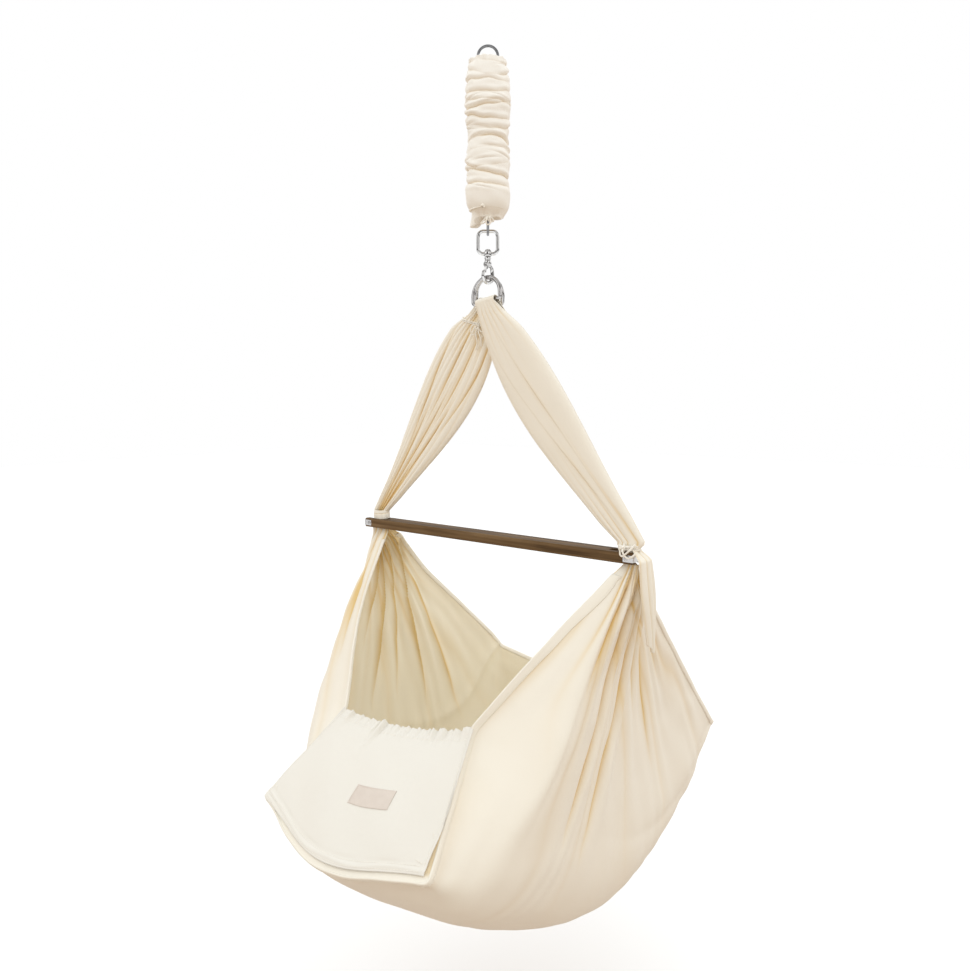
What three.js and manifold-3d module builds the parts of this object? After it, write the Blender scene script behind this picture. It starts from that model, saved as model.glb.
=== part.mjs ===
// Hanging baby hammock: sprung eye, swivel snap hook, two rings, two straps, spreader bar, cloth sling.
// Millimetres, +Z up, +X along the spreader bar, foot end towards -Y.
// The origin is the hang point, the inside top of the upper eye.
import * as THREE from 'three';
import { mergeVertices } from 'three/addons/utils/BufferGeometryUtils.js';
import Module from 'manifold-3d';

const wasm = await Module();
wasm.setup();

// ---------- driving dimensions ----------
const GAP = 0.3;                 // clearance between pieces that touch
const BAR_Z = -841;              // middle of the spreader bar
const BAR_HALF = 300;            // half its length
const BAR_DEEP = 36;             // along Y
const BAR_TALL = 17.5;           // along Z
const SLOT_LONG = 42;            // open slot in each bar end
const SLOT_WIDE = 15;
const APEX_X = 283;              // where the gathered cloth passes the bar

const SPRING_WIRE_R = 2.25;
const SPRING_R = 15.5;           // mean radius of the coil
const SPRING_TURNS = 16;
const COIL_TOP = -37;
const COIL_BOTTOM = -262;
const LOOP_R = 17;               // mean radius of both end loops
const CHAIN_TURN = 38 * Math.PI / 180;   // spring and bail hang turned about Z

const BAIL_R = 3;                // bail wire
const BAIL_HALF = 17;            // to the middle of its side wires
const BAIL_TOP = -302.75;        // middle of its top wire
const BOSS_Z = -341;             // middle of the boss that the swivel stem passes
const BOSS_R = 7;
const BOSS_TALL = 9;
const STEM_R = 3;
const SHANK_R = 6;
const SHANK_TOP = -346.2;
const SHANK_BOTTOM = -361;
const HOOK_R = 3.25;             // hook wire
const HOOK_BEND_R = 13.25;       // its bend, to the middle of the wire
const HOOK_BEND_Z = -377.1;
const GATE_PIN_Y = -3.5;
const GATE_PIN_Z = -359;

const RING_WIRE_R = 3.5;
const RING_HALF = 29.5;          // half width of a ring, to the middle of its wire
const RING_TOP = -381.5;         // middle of the wire at the top of the arc
const RING_TALL = 43;            // from there to the flat side
const RING_SIDE = 4.2;           // each ring hangs this far to one side of the hook's plane
const RING_LEAN = 8 * Math.PI / 180;     // and leans out, so the two straps clear each other
const RING_TILT = 9 * Math.PI / 180;     // and tilts towards its strap

const LOOP_INNER = 6.2;          // strap loop round the flat side of a ring
const LOOP_OUTER = 8.8;
const LOOP_WIDE = 44;

const CLOTH = 3;                 // thickness of the cloth solids
const SLEEVE_TOP = -9;
const SLEEVE_BOTTOM = -291;
const SLEEVE_R = 36;
const SLEEVE_BORE = 20.5;

// Sling corners, from the middle of the bar: top of the foot panel, its foot, and the head edge.
const SLING = {
  left: { sign: -1, panel: [-125, -238, -281], foot: [-180, -376, -392], head: [-290, 428, -359] },
  right: { sign: 1, panel: [127, -207, -260], foot: [182, -374, -406], head: [288, 372, -404] },
};
// Distance from the bar down to the middle of the sling, by angle from straight down.
const KEEL = [[-46, 596], [-25, 620], [9, 692], [30, 664], [47, 572]];
const BREAK_SIDE = 0.42;         // where a cloth line passes the panel's top corner
const BREAK_FLOOR = 0.72;        // and where it turns under the floor
const NECK = 17;                 // the fan of cloth starts this far below the bar's middle

// ---------- materials ----------
const finish = (color, roughness, metalness = 0) => ({ color, roughness, metalness });
const COTTON = finish(0xefe6d2, 0.9);
const CORD = finish(0xf2ecdf, 0.85);
const STEEL = finish(0x8e9092, 0.3, 1);
const CHROME = finish(0xc9ccd0, 0.15, 1);
const WOOD = finish(0x7d6346, 0.6);
const PATCH = finish(0xdcd0c2, 0.8);
const FOAM = finish(0xf0ead8, 0.95);

const model = new THREE.Group();

function add(name, geometry, look, parent = model) {
  const mesh = new THREE.Mesh(geometry, new THREE.MeshStandardMaterial(look));
  mesh.name = name;
  parent.add(mesh);
  return mesh;
}

// ---------- geometry helpers ----------
const vec = (x, y, z) => new THREE.Vector3(x, y, z);
const lerp = THREE.MathUtils.lerp;

function weld(geometry) {
  const bare = geometry.clone();
  bare.deleteAttribute('normal');
  bare.deleteAttribute('uv');
  return mergeVertices(bare, 1e-4);
}

function solid(geometry) {
  const welded = weld(geometry);
  return new wasm.Manifold(new wasm.Mesh({
    numProp: 3,
    vertProperties: new Float32Array(welded.attributes.position.array),
    triVerts: new Uint32Array(welded.index.array),
  }));
}

function geometryOf(manifold) {
  const mesh = manifold.getMesh();
  const geometry = new THREE.BufferGeometry();
  geometry.setAttribute('position', new THREE.BufferAttribute(mesh.vertProperties, 3));
  geometry.setIndex(new THREE.BufferAttribute(mesh.triVerts, 1));
  return geometry;
}

const join = (...geometries) => geometryOf(geometries.map(solid).reduce((a, b) => a.add(b)));
const cut = (body, ...tools) => geometryOf(tools.map(solid).reduce((a, b) => a.subtract(b), solid(body)));

// A closed body from an index list over a flat list of points.
function fromPoints(points, triangles) {
  const geometry = new THREE.BufferGeometry().setFromPoints(points);
  geometry.setIndex(triangles);
  return geometry;
}

function circle(radius, sides) {
  const points = [];
  for (let i = 0; i < sides; i += 1) {
    const angle = (i / sides) * 2 * Math.PI;
    points.push(new THREE.Vector2(radius * Math.cos(angle), radius * Math.sin(angle)));
  }
  return new THREE.Shape(points);
}

// A round wire along an open curve.
function wire(curve, radius, steps, sides = 8) {
  const options = { extrudePath: curve, steps, bevelEnabled: false };
  return new THREE.ExtrudeGeometry(circle(radius, sides), options);
}

// A straight rod between two points.
const rod = (from, to, radius, sides = 16) => wire(new THREE.LineCurve3(from, to), radius, 1, sides);

function box(x0, x1, y0, y1, z0, z1) {
  const geometry = new THREE.BoxGeometry(x1 - x0, y1 - y0, z1 - z0);
  return geometry.translate((x0 + x1) / 2, (y0 + y1) / 2, (z0 + z1) / 2);
}

// A body through a row of rings of points, each ring seen the same way round.
function loft(rings, closed = false) {
  const count = rings[0].length;
  const points = rings.flat();
  const triangles = [];
  const spans = closed ? rings.length : rings.length - 1;
  for (let i = 0; i < spans; i += 1) {
    const a = i * count;
    const b = ((i + 1) % rings.length) * count;
    for (let j = 0; j < count; j += 1) {
      const k = (j + 1) % count;
      triangles.push(a + j, a + k, b + k, a + j, b + k, b + j);
    }
  }
  if (!closed) {
    const last = (rings.length - 1) * count;
    for (let j = 1; j < count - 1; j += 1) {
      triangles.push(0, j + 1, j, last, last + j, last + j + 1);
    }
  }
  return fromPoints(points, triangles);
}

// A flat path as a closed curve, standing in the XZ plane or lying in the XY plane.
class FlatCurve extends THREE.Curve {
  constructor(path, lying = false) {
    super();
    this.path = path;
    this.lying = lying;
  }

  getPoint(t, target = new THREE.Vector3()) {
    const point = this.path.getPointAt(t % 1);
    return this.lying ? target.set(point.x, point.y, 0) : target.set(point.x, 0, point.y);
  }
}

// A round wire along a closed flat curve whose plane has the normal side.
function hoop(curve, radius, steps, side, sides = 8) {
  const rings = [];
  for (let i = 0; i < steps; i += 1) {
    const centre = curve.getPointAt(i / steps);
    const out = new THREE.Vector3().crossVectors(curve.getTangentAt(i / steps), side).normalize();
    const ring = [];
    for (let j = 0; j < sides; j += 1) {
      const angle = (j / sides) * 2 * Math.PI;
      const point = centre.clone().addScaledVector(out, radius * Math.cos(angle));
      ring.push(point.addScaledVector(side, -radius * Math.sin(angle)));
    }
    rings.push(ring);
  }
  return loft(rings, true);
}

// A closed solid of the given thickness round an open sheet, pointAt(u, v) with u and v from 0 to 1.
function sheet(pointAt, rows, columns, thicknessAt) {
  const count = (rows + 1) * (columns + 1);
  const above = [];
  const below = [];
  const step = 1e-4;
  for (let i = 0; i <= rows; i += 1) {
    for (let j = 0; j <= columns; j += 1) {
      const u = i / rows;
      const v = j / columns;
      const along = pointAt(Math.min(u + step, 1), v).sub(pointAt(Math.max(u - step, 0), v));
      const across = pointAt(u, Math.min(v + step, 1)).sub(pointAt(u, Math.max(v - step, 0)));
      const normal = along.cross(across).normalize();
      const half = thicknessAt(u, v) / 2;
      const middle = pointAt(u, v);
      above.push(middle.clone().addScaledVector(normal, half));
      below.push(middle.clone().addScaledVector(normal, -half));
    }
  }
  const at = (i, j) => i * (columns + 1) + j;
  const triangles = [];
  const quad = (a, b, c, d) => triangles.push(a, b, c, a, c, d);
  for (let i = 0; i < rows; i += 1) {
    for (let j = 0; j < columns; j += 1) {
      quad(at(i, j), at(i + 1, j), at(i + 1, j + 1), at(i, j + 1));
      quad(count + at(i, j), count + at(i, j + 1), count + at(i + 1, j + 1), count + at(i + 1, j));
    }
  }
  for (let i = 0; i < rows; i += 1) {
    quad(at(i + 1, 0), at(i, 0), count + at(i, 0), count + at(i + 1, 0));
    quad(at(i, columns), at(i + 1, columns), count + at(i + 1, columns), count + at(i, columns));
  }
  for (let j = 0; j < columns; j += 1) {
    quad(at(0, j), at(0, j + 1), count + at(0, j + 1), count + at(0, j));
    quad(at(rows, j + 1), at(rows, j), count + at(rows, j), count + at(rows, j + 1));
  }
  return fromPoints([...above, ...below], triangles);
}

// ---------- spring, its sleeve and the safety cord ----------
const spring = new THREE.Group();
spring.rotation.z = CHAIN_TURN;
model.add(spring);

const EYE_Z = SPRING_WIRE_R - LOOP_R;
const LOWER_LOOP_Z = BAIL_TOP - BAIL_R - GAP - SPRING_WIRE_R + LOOP_R;

// An end loop of the spring: it leaves the coil's edge and turns round its own middle.
function endLoop(middle, up, across) {
  const points = [];
  const start = -0.30 * Math.PI;
  const sweep = 1.62 * Math.PI;
  const steps = 22;
  const edge = middle - up * (LOOP_R + 4.2);
  points.push(across.clone().multiplyScalar(SPRING_R).setZ(edge - up * 1.5));
  points.push(across.clone().multiplyScalar(SPRING_R + 0.6).setZ(edge + up * 2.5));
  for (let i = 0; i <= steps; i += 1) {
    const angle = start + (sweep * i) / steps;
    const point = across.clone().multiplyScalar(LOOP_R * Math.cos(angle));
    points.push(point.setZ(middle + up * LOOP_R * Math.sin(angle)));
  }
  return wire(new THREE.CatmullRomCurve3(points), SPRING_WIRE_R, 34);
}

class Helix extends THREE.Curve {
  constructor(radius, turns, top, bottom) {
    super();
    Object.assign(this, { radius, turns, top, bottom });
  }

  getPoint(t, target = new THREE.Vector3()) {
    const angle = t * this.turns * 2 * Math.PI;
    const z = lerp(this.top, this.bottom, t);
    return target.set(this.radius * Math.cos(angle), this.radius * Math.sin(angle), z);
  }
}

add('spring_upper_eye', endLoop(EYE_Z, 1, vec(1, 0, 0)), STEEL, spring);
add('spring_lower_loop', endLoop(LOWER_LOOP_Z, -1, vec(0, 1, 0)), STEEL, spring);
const coil = new Helix(SPRING_R, SPRING_TURNS, COIL_TOP - 3, COIL_BOTTOM + 3);
add('spring_coil', wire(coil, SPRING_WIRE_R, SPRING_TURNS * 10, 6), STEEL, spring);

// The cord is tied round each end loop of the spring, on the side away from the coil's end.
const TIE_ANGLE = 1.25 * Math.PI;
const TIE_DROP = -LOOP_R * Math.sin(TIE_ANGLE);  // from the loop's middle towards the coil

const CORD_R = 2;
const CORD_COIL_R = 8.5;         // the slack cord lies in turns inside the coil
const CORD_TURNS = 5.25;         // from the upper tie's side round to the lower tie's
const TIE_CLEAR = SPRING_WIRE_R + 3 * CORD_R + 2 * GAP;

// The slack cord runs from under the upper tie, in open turns inside the coil, to the lower tie.
function slackCord() {
  const turns = new Helix(CORD_COIL_R, CORD_TURNS, COIL_TOP - 8, COIL_BOTTOM + 8);
  const points = turns.getPoints(CORD_TURNS * 8).map((point) => vec(-point.x, -point.y, point.z));
  const above = vec(-TIE_DROP, 0, EYE_Z - TIE_DROP - TIE_CLEAR);
  const below = vec(0, -TIE_DROP, LOWER_LOOP_Z + TIE_DROP + TIE_CLEAR);
  return wire(new THREE.CatmullRomCurve3([above, ...points, below]), CORD_R, 52, 6);
}
add('safety_cord', slackCord(), CORD, spring);

function cordTie(name, middle, up, across) {
  const tie = new THREE.TorusGeometry(SPRING_WIRE_R + GAP + CORD_R, CORD_R, 6, 14);
  const mesh = add(name, tie, CORD, spring);
  const along = across.clone().multiplyScalar(-Math.sin(TIE_ANGLE)).setZ(up * Math.cos(TIE_ANGLE));
  mesh.quaternion.setFromUnitVectors(vec(0, 0, 1), along.normalize());
  mesh.position.copy(across).multiplyScalar(LOOP_R * Math.cos(TIE_ANGLE));
  mesh.position.z = middle + up * LOOP_R * Math.sin(TIE_ANGLE);
}
cordTie('safety_cord_upper_tie', EYE_Z, 1, vec(1, 0, 0));
cordTie('safety_cord_lower_tie', LOWER_LOOP_Z, -1, vec(0, 1, 0));

// Gathered cotton tube over the spring, open at both ends, with a flared lower ruffle.
function sleeve() {
  const outer = [];
  const rows = 12;
  for (let i = 0; i <= rows; i += 1) {
    const z = lerp(SLEEVE_BOTTOM, SLEEVE_TOP, i / rows);
    const ends = Math.min(1, Math.sin((i / rows) * Math.PI) * 2.6 + 0.55);
    const fold = 2.5 * Math.cos(i * Math.PI);
    outer.push(new THREE.Vector2(lerp(SLEEVE_BORE + 3, SLEEVE_R, ends) + fold, z));
  }
  const inner = [new THREE.Vector2(SLEEVE_BORE, SLEEVE_TOP), new THREE.Vector2(SLEEVE_BORE, SLEEVE_BOTTOM)];
  return new THREE.LatheGeometry([...outer, ...inner, outer[0]], 20).rotateX(Math.PI / 2);
}
add('spring_sleeve', sleeve(), COTTON, spring);

// The sleeve's drawstring lies in a neck above the ruffle.
const SLEEVE_TIE_Z = -268;
const sleeveTie = add('sleeve_tie', new THREE.TorusGeometry(SLEEVE_R + 4.8, 1.5, 6, 28), CORD, spring);
sleeveTie.position.z = SLEEVE_TIE_Z;

// ---------- bail and snap hook ----------
function roundedFrame(half, top, bottom, corner) {
  const path = new THREE.Path();
  path.moveTo(0, top);
  path.lineTo(-half + corner, top);
  path.absarc(-half + corner, top - corner, corner, Math.PI / 2, Math.PI, false);
  path.lineTo(-half, bottom + corner);
  path.absarc(-half + corner, bottom + corner, corner, Math.PI, 1.5 * Math.PI, false);
  path.lineTo(half - corner, bottom);
  path.absarc(half - corner, bottom + corner, corner, 1.5 * Math.PI, 2 * Math.PI, false);
  path.lineTo(half, top - corner);
  path.absarc(half - corner, top - corner, corner, 0, Math.PI / 2, false);
  path.closePath();
  return path;
}

const upright = (radius, from, to, sides = 18) => rod(vec(0, 0, from), vec(0, 0, to), radius, sides);

function bail() {
  const outline = new FlatCurve(roundedFrame(BAIL_HALF, BAIL_TOP, BOSS_Z, 9));
  const frame = hoop(outline, BAIL_R, 34, vec(0, 1, 0));
  const boss = upright(BOSS_R, BOSS_Z - BOSS_TALL / 2, BOSS_Z + BOSS_TALL / 2);
  const bore = upright(STEM_R + GAP, BOSS_Z - BOSS_TALL, BOSS_Z + BOSS_TALL);
  return cut(join(frame, boss), bore);
}
add('swivel_bail', bail(), CHROME, spring);

// Headed stem through the boss, seated in the hook's shank.
const STEM_HEAD = BOSS_Z + BOSS_TALL / 2 + GAP;
const STEM_SEAT = SHANK_TOP - 9;
const stem = join(
  upright(BOSS_R - 1.8, STEM_HEAD, STEM_HEAD + 3),
  upright(STEM_R, STEM_SEAT, STEM_HEAD + 1),
);
add('swivel_stem', stem, CHROME);

const inHook = (y, z) => vec(0, y, z);

function hookFrame() {
  const points = [inHook(0, SHANK_BOTTOM + 5), inHook(5.5, SHANK_BOTTOM + 0.5), inHook(11.5, -366.5)];
  const steps = 14;
  const turn = 1.12 * Math.PI;
  for (let i = 0; i <= steps; i += 1) {
    const angle = (turn * i) / steps;
    const y = HOOK_BEND_R * Math.cos(angle);
    points.push(inHook(y, HOOK_BEND_Z - HOOK_BEND_R * Math.sin(angle)));
  }
  const bend = wire(new THREE.CatmullRomCurve3(points), HOOK_R, 30, 10);
  const shank = upright(SHANK_R, SHANK_BOTTOM, SHANK_TOP);
  const seat = upright(STEM_R + GAP, STEM_SEAT - GAP, SHANK_TOP + 5);
  const cheeks = box(-4.6, 4.6, GATE_PIN_Y - 4, 3, GATE_PIN_Z - 4.5, GATE_PIN_Z + 4);
  const gateSlot = box(-2.6, 2.6, GATE_PIN_Y - 9, GATE_PIN_Y + 4.6, GATE_PIN_Z - 12, GATE_PIN_Z + 5);
  const pinHole = rod(vec(-9, GATE_PIN_Y, GATE_PIN_Z), vec(9, GATE_PIN_Y, GATE_PIN_Z), 1.3 + GAP, 12);
  return cut(join(shank, bend, cheeks), seat, gateSlot, pinHole);
}
add('hook_frame', hookFrame(), CHROME);

// Gate: a plate with an eye round the pin, bowed out to rest inside the hook's tip.
function gate() {
  const shape = new THREE.Shape();
  shape.absarc(GATE_PIN_Y, GATE_PIN_Z, 3.2, 0.15 * Math.PI, 1.05 * Math.PI, false);
  shape.quadraticCurveTo(-9.8, -366, -8.6, -373.5);
  shape.lineTo(-7, -373.2);
  shape.quadraticCurveTo(-6.8, -366, -1.2, -361.2);
  const hole = new THREE.Path();
  hole.absarc(GATE_PIN_Y, GATE_PIN_Z, 1.3 + GAP, 0, 2 * Math.PI, true);
  shape.holes.push(hole);
  const plate = new THREE.ExtrudeGeometry(shape, { depth: 4.4, bevelEnabled: false, curveSegments: 6 });
  return plate.applyMatrix4(new THREE.Matrix4().set(0, 0, 1, -2.2, 1, 0, 0, 0, 0, 1, 0, 0, 0, 0, 0, 1));
}
add('hook_gate', gate(), STEEL);
// Leaf spring behind the gate, from the slot's end wall to the gate's inner face.
function gateSpring() {
  const leaf = new THREE.Shape();
  leaf.moveTo(0.7, -356.5);
  leaf.lineTo(0.1, -356.5);
  leaf.lineTo(0.1, -361.2);
  leaf.quadraticCurveTo(-0.6, -364.4, -4.6, -367.2);
  leaf.lineTo(-4.3, -367.7);
  leaf.quadraticCurveTo(0.4, -365, 0.7, -361.2);
  const strip = new THREE.ExtrudeGeometry(leaf, { depth: 3, bevelEnabled: false, curveSegments: 5 });
  return strip.applyMatrix4(new THREE.Matrix4().set(0, 0, 1, -1.5, 1, 0, 0, 0, 0, 1, 0, 0, 0, 0, 0, 1));
}
add('gate_spring', gateSpring(), STEEL);
const pin = rod(vec(-5.2, GATE_PIN_Y, GATE_PIN_Z), vec(5.2, GATE_PIN_Y, GATE_PIN_Z), 1.3, 12);
add('gate_pin', pin, CHROME);

// ---------- rings ----------
function ringShape() {
  const corner = 5;
  const arcZ = RING_TOP - RING_HALF;
  const path = new THREE.Path();
  const bottom = RING_TOP - RING_TALL;
  path.moveTo(0, bottom);
  path.lineTo(RING_HALF - corner, bottom);
  path.absarc(RING_HALF - corner, bottom + corner, corner, -Math.PI / 2, 0, false);
  path.lineTo(RING_HALF, arcZ);
  path.absarc(0, arcZ, RING_HALF, 0, Math.PI, false);
  path.lineTo(-RING_HALF, bottom + corner);
  path.absarc(-RING_HALF + corner, bottom + corner, corner, Math.PI, 1.5 * Math.PI, false);
  path.closePath();
  return path;
}

// Turns a geometry about the hook's bend: lean out from the hook's plane, then tilt to one side.
const RING_PIVOT = HOOK_BEND_Z - Math.sqrt(HOOK_BEND_R ** 2 - RING_SIDE ** 2);
function hangOnHook(geometry, sign) {
  geometry.translate(0, 0, -RING_TOP);
  geometry.rotateX(-sign * RING_LEAN);
  geometry.translate(0, -sign * RING_SIDE, RING_TOP - RING_PIVOT);
  geometry.rotateY(-sign * RING_TILT);
  return geometry.translate(0, 0, RING_PIVOT);
}

const ringHoop = () => hoop(new FlatCurve(ringShape()), RING_WIRE_R, 38, vec(0, 1, 0));
add('d_ring_right', hangOnHook(ringHoop(), 1), STEEL);
add('d_ring_left', hangOnHook(ringHoop(), -1), STEEL);

// ---------- straps ----------
const NECK_TOP = BAR_Z + BAR_TALL / 2 + 16;
const NECK_BOTTOM = BAR_Z - NECK + 1.8;

const STRAPS = { left: { sign: -1, bulge: 44, lift: 0.7 }, right: { sign: 1, bulge: 29, lift: 0.75 } };
const STRAP_SIDES = 14;

// The middle of a ring's flat side, and a point beside it along that side.
function flatSide(sign) {
  const low = RING_TOP - RING_TALL;
  const pair = new THREE.BufferGeometry().setFromPoints([vec(0, 0, low), vec(1, 0, low)]);
  const { position } = hangOnHook(pair, sign).attributes;
  const middle = new THREE.Vector3().fromBufferAttribute(position, 0);
  const along = new THREE.Vector3().fromBufferAttribute(position, 1).sub(middle).normalize();
  return { middle, along };
}

// The strap's outline at u, from 0 under the ring to 1 at the neck, grown by the given amount.
function strapSection({ sign, bulge, lift }, u, grow = 0) {
  const first = flatSide(sign).middle.add(vec(sign * 1.5, 0, -LOOP_INNER - 1));
  const middle = first.lerp(vec(sign * APEX_X, 0, NECK_TOP), u);
  middle.x -= sign * 12 * Math.sin(Math.PI * u);
  const width = lerp(LOOP_WIDE / 2, 14, u) + bulge * Math.sin(Math.PI * u ** lift) ** 1.4 + grow;
  const deep = lerp(6.5, 6.2, u) + 2 * Math.sin(Math.PI * u) + grow;
  const slope = Math.min(u * 6, 1) * Math.min((1 - u) * 8 + 0.15, 1) * 0.63;
  const outline = [];
  for (let j = 0; j < STRAP_SIDES; j += 1) {
    const angle = (j / STRAP_SIDES) * 2 * Math.PI;
    const c = Math.cos(angle);
    const s = Math.sin(angle);
    const wide = width * Math.sign(c) * Math.abs(c) ** 0.6;
    const thick = deep * Math.sign(s) * Math.abs(s) ** 0.8;
    const offset = vec(wide * Math.cos(slope), -thick, sign * wide * Math.sin(slope));
    outline.push(offset.add(middle));
  }
  return outline;
}

// A strap folded over the flat side of its ring, spread wide and gathered again into the bar's slot.
function strap(shape) {
  const { middle, along } = flatSide(shape.sign);
  const reach = (length) => middle.clone().addScaledVector(along, length);
  const loop = rod(reach(-LOOP_WIDE / 2), reach(LOOP_WIDE / 2), LOOP_OUTER, 16);
  const hole = rod(reach(-LOOP_WIDE), reach(LOOP_WIDE), LOOP_INNER, 16);
  const steps = 14;
  const outlines = [];
  for (let i = 0; i <= steps; i += 1) outlines.push(strapSection(shape, i / steps));
  const atNeck = (z) => outlines[steps].map((point) => vec(point.x, point.y, z));
  return cut(join(loop, loft([...outlines, atNeck(NECK_TOP - 8), atNeck(NECK_BOTTOM)])), hole);
}
add('right_strap', strap(STRAPS.right), COTTON);
add('left_strap', strap(STRAPS.left), COTTON);

// A cord wound round the left strap below its ring.
const TIE_R = 1.3;
const TIE_AT = 0.07;
function strapTie() {
  const path = new THREE.CatmullRomCurve3(strapSection(STRAPS.left, TIE_AT, TIE_R + 1.4).reverse(), true);
  const outline = strapSection(STRAPS.left, TIE_AT);
  const across = outline[0].clone().sub(outline[STRAP_SIDES / 2]);
  const normal = across.cross(vec(0, 1, 0)).normalize();
  return hoop(path, TIE_R, 24, normal, 6);
}
add('left_strap_tie', strapTie(), CORD);

// A lying oval of cord.
const ovalHoop = (wide, deep, radius, sides = 24) => {
  const curve = new THREE.EllipseCurve(0, 0, wide, deep, 0, 2 * Math.PI, true);
  return hoop(new FlatCurve(curve, true), radius, sides, vec(0, 0, 1), 6);
};

// ---------- spreader bar ----------
const CLIP_THICK = 1.8;
const CLIP_LEG = 16;
const CLIP_TALL = 11;
const CLIP_INNER = BAR_DEEP / 2 - CLIP_THICK;    // the legs are let into the bar, flush with its sides
const SCREW_R = 1.6;
const SCREW_X = BAR_HALF - CLIP_LEG + 5;
const SCREW_TIP = 10;                            // Y of its tip, short of the slot

// The cuts for one leg of an end clip: its recess and the hole for its screw.
function legCuts(side, way) {
  const x = [side * (BAR_HALF - CLIP_LEG - GAP), side * (BAR_HALF + 5)].sort((a, b) => a - b);
  const y = [way * (CLIP_INNER - GAP), way * BAR_DEEP].sort((a, b) => a - b);
  const half = CLIP_TALL / 2 + GAP;
  const at = (depth) => vec(side * SCREW_X, way * depth, BAR_Z);
  const hole = rod(at(SCREW_TIP - 1), at(BAR_DEEP), SCREW_R + GAP, 12);
  return [box(...x, ...y, BAR_Z - half, BAR_Z + half), hole];
}

function spreaderBar() {
  const bevel = 2;
  const outline = new THREE.Shape();
  const y = BAR_DEEP / 2 - bevel;
  const z = BAR_TALL / 2 - bevel;
  const corners = [[y, z, 0], [-y, z, 0.5], [-y, -z, 1], [y, -z, 1.5]];
  for (const [cy, cz, turn] of corners) {
    outline.absarc(cy, cz, bevel, turn * Math.PI, (turn + 0.5) * Math.PI, false);
  }
  outline.closePath();
  const options = { depth: 2 * BAR_HALF, bevelEnabled: false, curveSegments: 3 };
  const bar = new THREE.ExtrudeGeometry(outline, options);
  bar.applyMatrix4(new THREE.Matrix4().set(0, 0, 1, -BAR_HALF, 1, 0, 0, 0, 0, 1, 0, BAR_Z, 0, 0, 0, 1));
  const low = BAR_Z - BAR_TALL;
  const high = BAR_Z + BAR_TALL;
  const half = SLOT_WIDE / 2;
  const tools = [];
  for (const side of [-1, 1]) {
    const root = side * (BAR_HALF - SLOT_LONG);
    const tip = side * (BAR_HALF + 5);
    tools.push(rod(vec(root, 0, low), vec(root, 0, high), half));
    tools.push(box(Math.min(root, tip), Math.max(root, tip), -half, half, low, high));
    tools.push(...legCuts(side, -1), ...legCuts(side, 1));
  }
  return cut(bar, ...tools);
}
add('spreader_bar', spreaderBar(), WOOD);

// Steel strap across each open slot, its two legs screwed to the sides of the bar.
function endClip(side) {
  const outX = BAR_HALF + GAP + CLIP_THICK;
  const outY = BAR_DEEP / 2;
  const low = BAR_Z - CLIP_TALL / 2;
  const high = BAR_Z + CLIP_TALL / 2;
  const block = box(BAR_HALF - CLIP_LEG, outX, -outY, outY, low, high);
  const hollow = box(0, BAR_HALF + GAP, -CLIP_INNER, CLIP_INNER, low - 5, high + 5);
  const holes = rod(vec(SCREW_X, -BAR_DEEP, BAR_Z), vec(SCREW_X, BAR_DEEP, BAR_Z), SCREW_R + GAP, 12);
  const clip = cut(block, hollow, holes);
  return side > 0 ? clip : clip.rotateZ(Math.PI);
}

// A pan-head screw through one leg of a clip.
function clipScrew(side, way) {
  const face = BAR_DEEP / 2 + GAP;
  const at = (depth) => vec(side * SCREW_X, way * depth, BAR_Z);
  return join(rod(at(SCREW_TIP), at(face + 1), SCREW_R, 12), rod(at(face), at(face + 1.4), 3, 12));
}

for (const [name, side] of [['left', -1], ['right', 1]]) {
  add(`${name}_end_clip`, endClip(side), STEEL);
  add(`${name}_clip_screw_front`, clipScrew(side, -1), STEEL);
  add(`${name}_clip_screw_back`, clipScrew(side, 1), STEEL);
  const collar = add(`${name}_neck_cord`, ovalHoop(19.5, 11.5, 2.6), CORD);
  collar.position.set(side * APEX_X, 0, BAR_Z + BAR_TALL / 2 + 6);
}

// ---------- sling ----------
const polar = ([, y, z]) => ({ angle: Math.atan2(y, -z) * 180 / Math.PI, reach: Math.hypot(y, z) });
const blend = (from, to, t) => THREE.MathUtils.smoothstep(t, from, to);

// Distance from the bar to the middle of the sling, smooth through the stations of KEEL.
const keelCurve = new THREE.CatmullRomCurve3(KEEL.map(([angle, reach]) => vec(angle, reach, 0)));
const keelTable = keelCurve.getPoints(60);
function keelAt(angle) {
  const index = keelTable.findIndex((point) => point.x >= angle);
  if (index <= 0) return index < 0 ? keelTable[60].y : keelTable[0].y;
  const a = keelTable[index - 1];
  const b = keelTable[index];
  return lerp(a.y, b.y, (angle - a.x) / (b.x - a.x));
}

const middleAngle = (corner) => (polar(SLING.left[corner]).angle + polar(SLING.right[corner]).angle) / 2;
const KEEL_FOOT = middleAngle('foot');
const KEEL_HEAD = middleAngle('head');

// Rises from 0 to x once x passes 0, rounded over plus or minus r.
function bend(x, r) {
  if (x < -r) return 0;
  return x > r ? x : (x + r) ** 2 / (4 * r);
}

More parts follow.
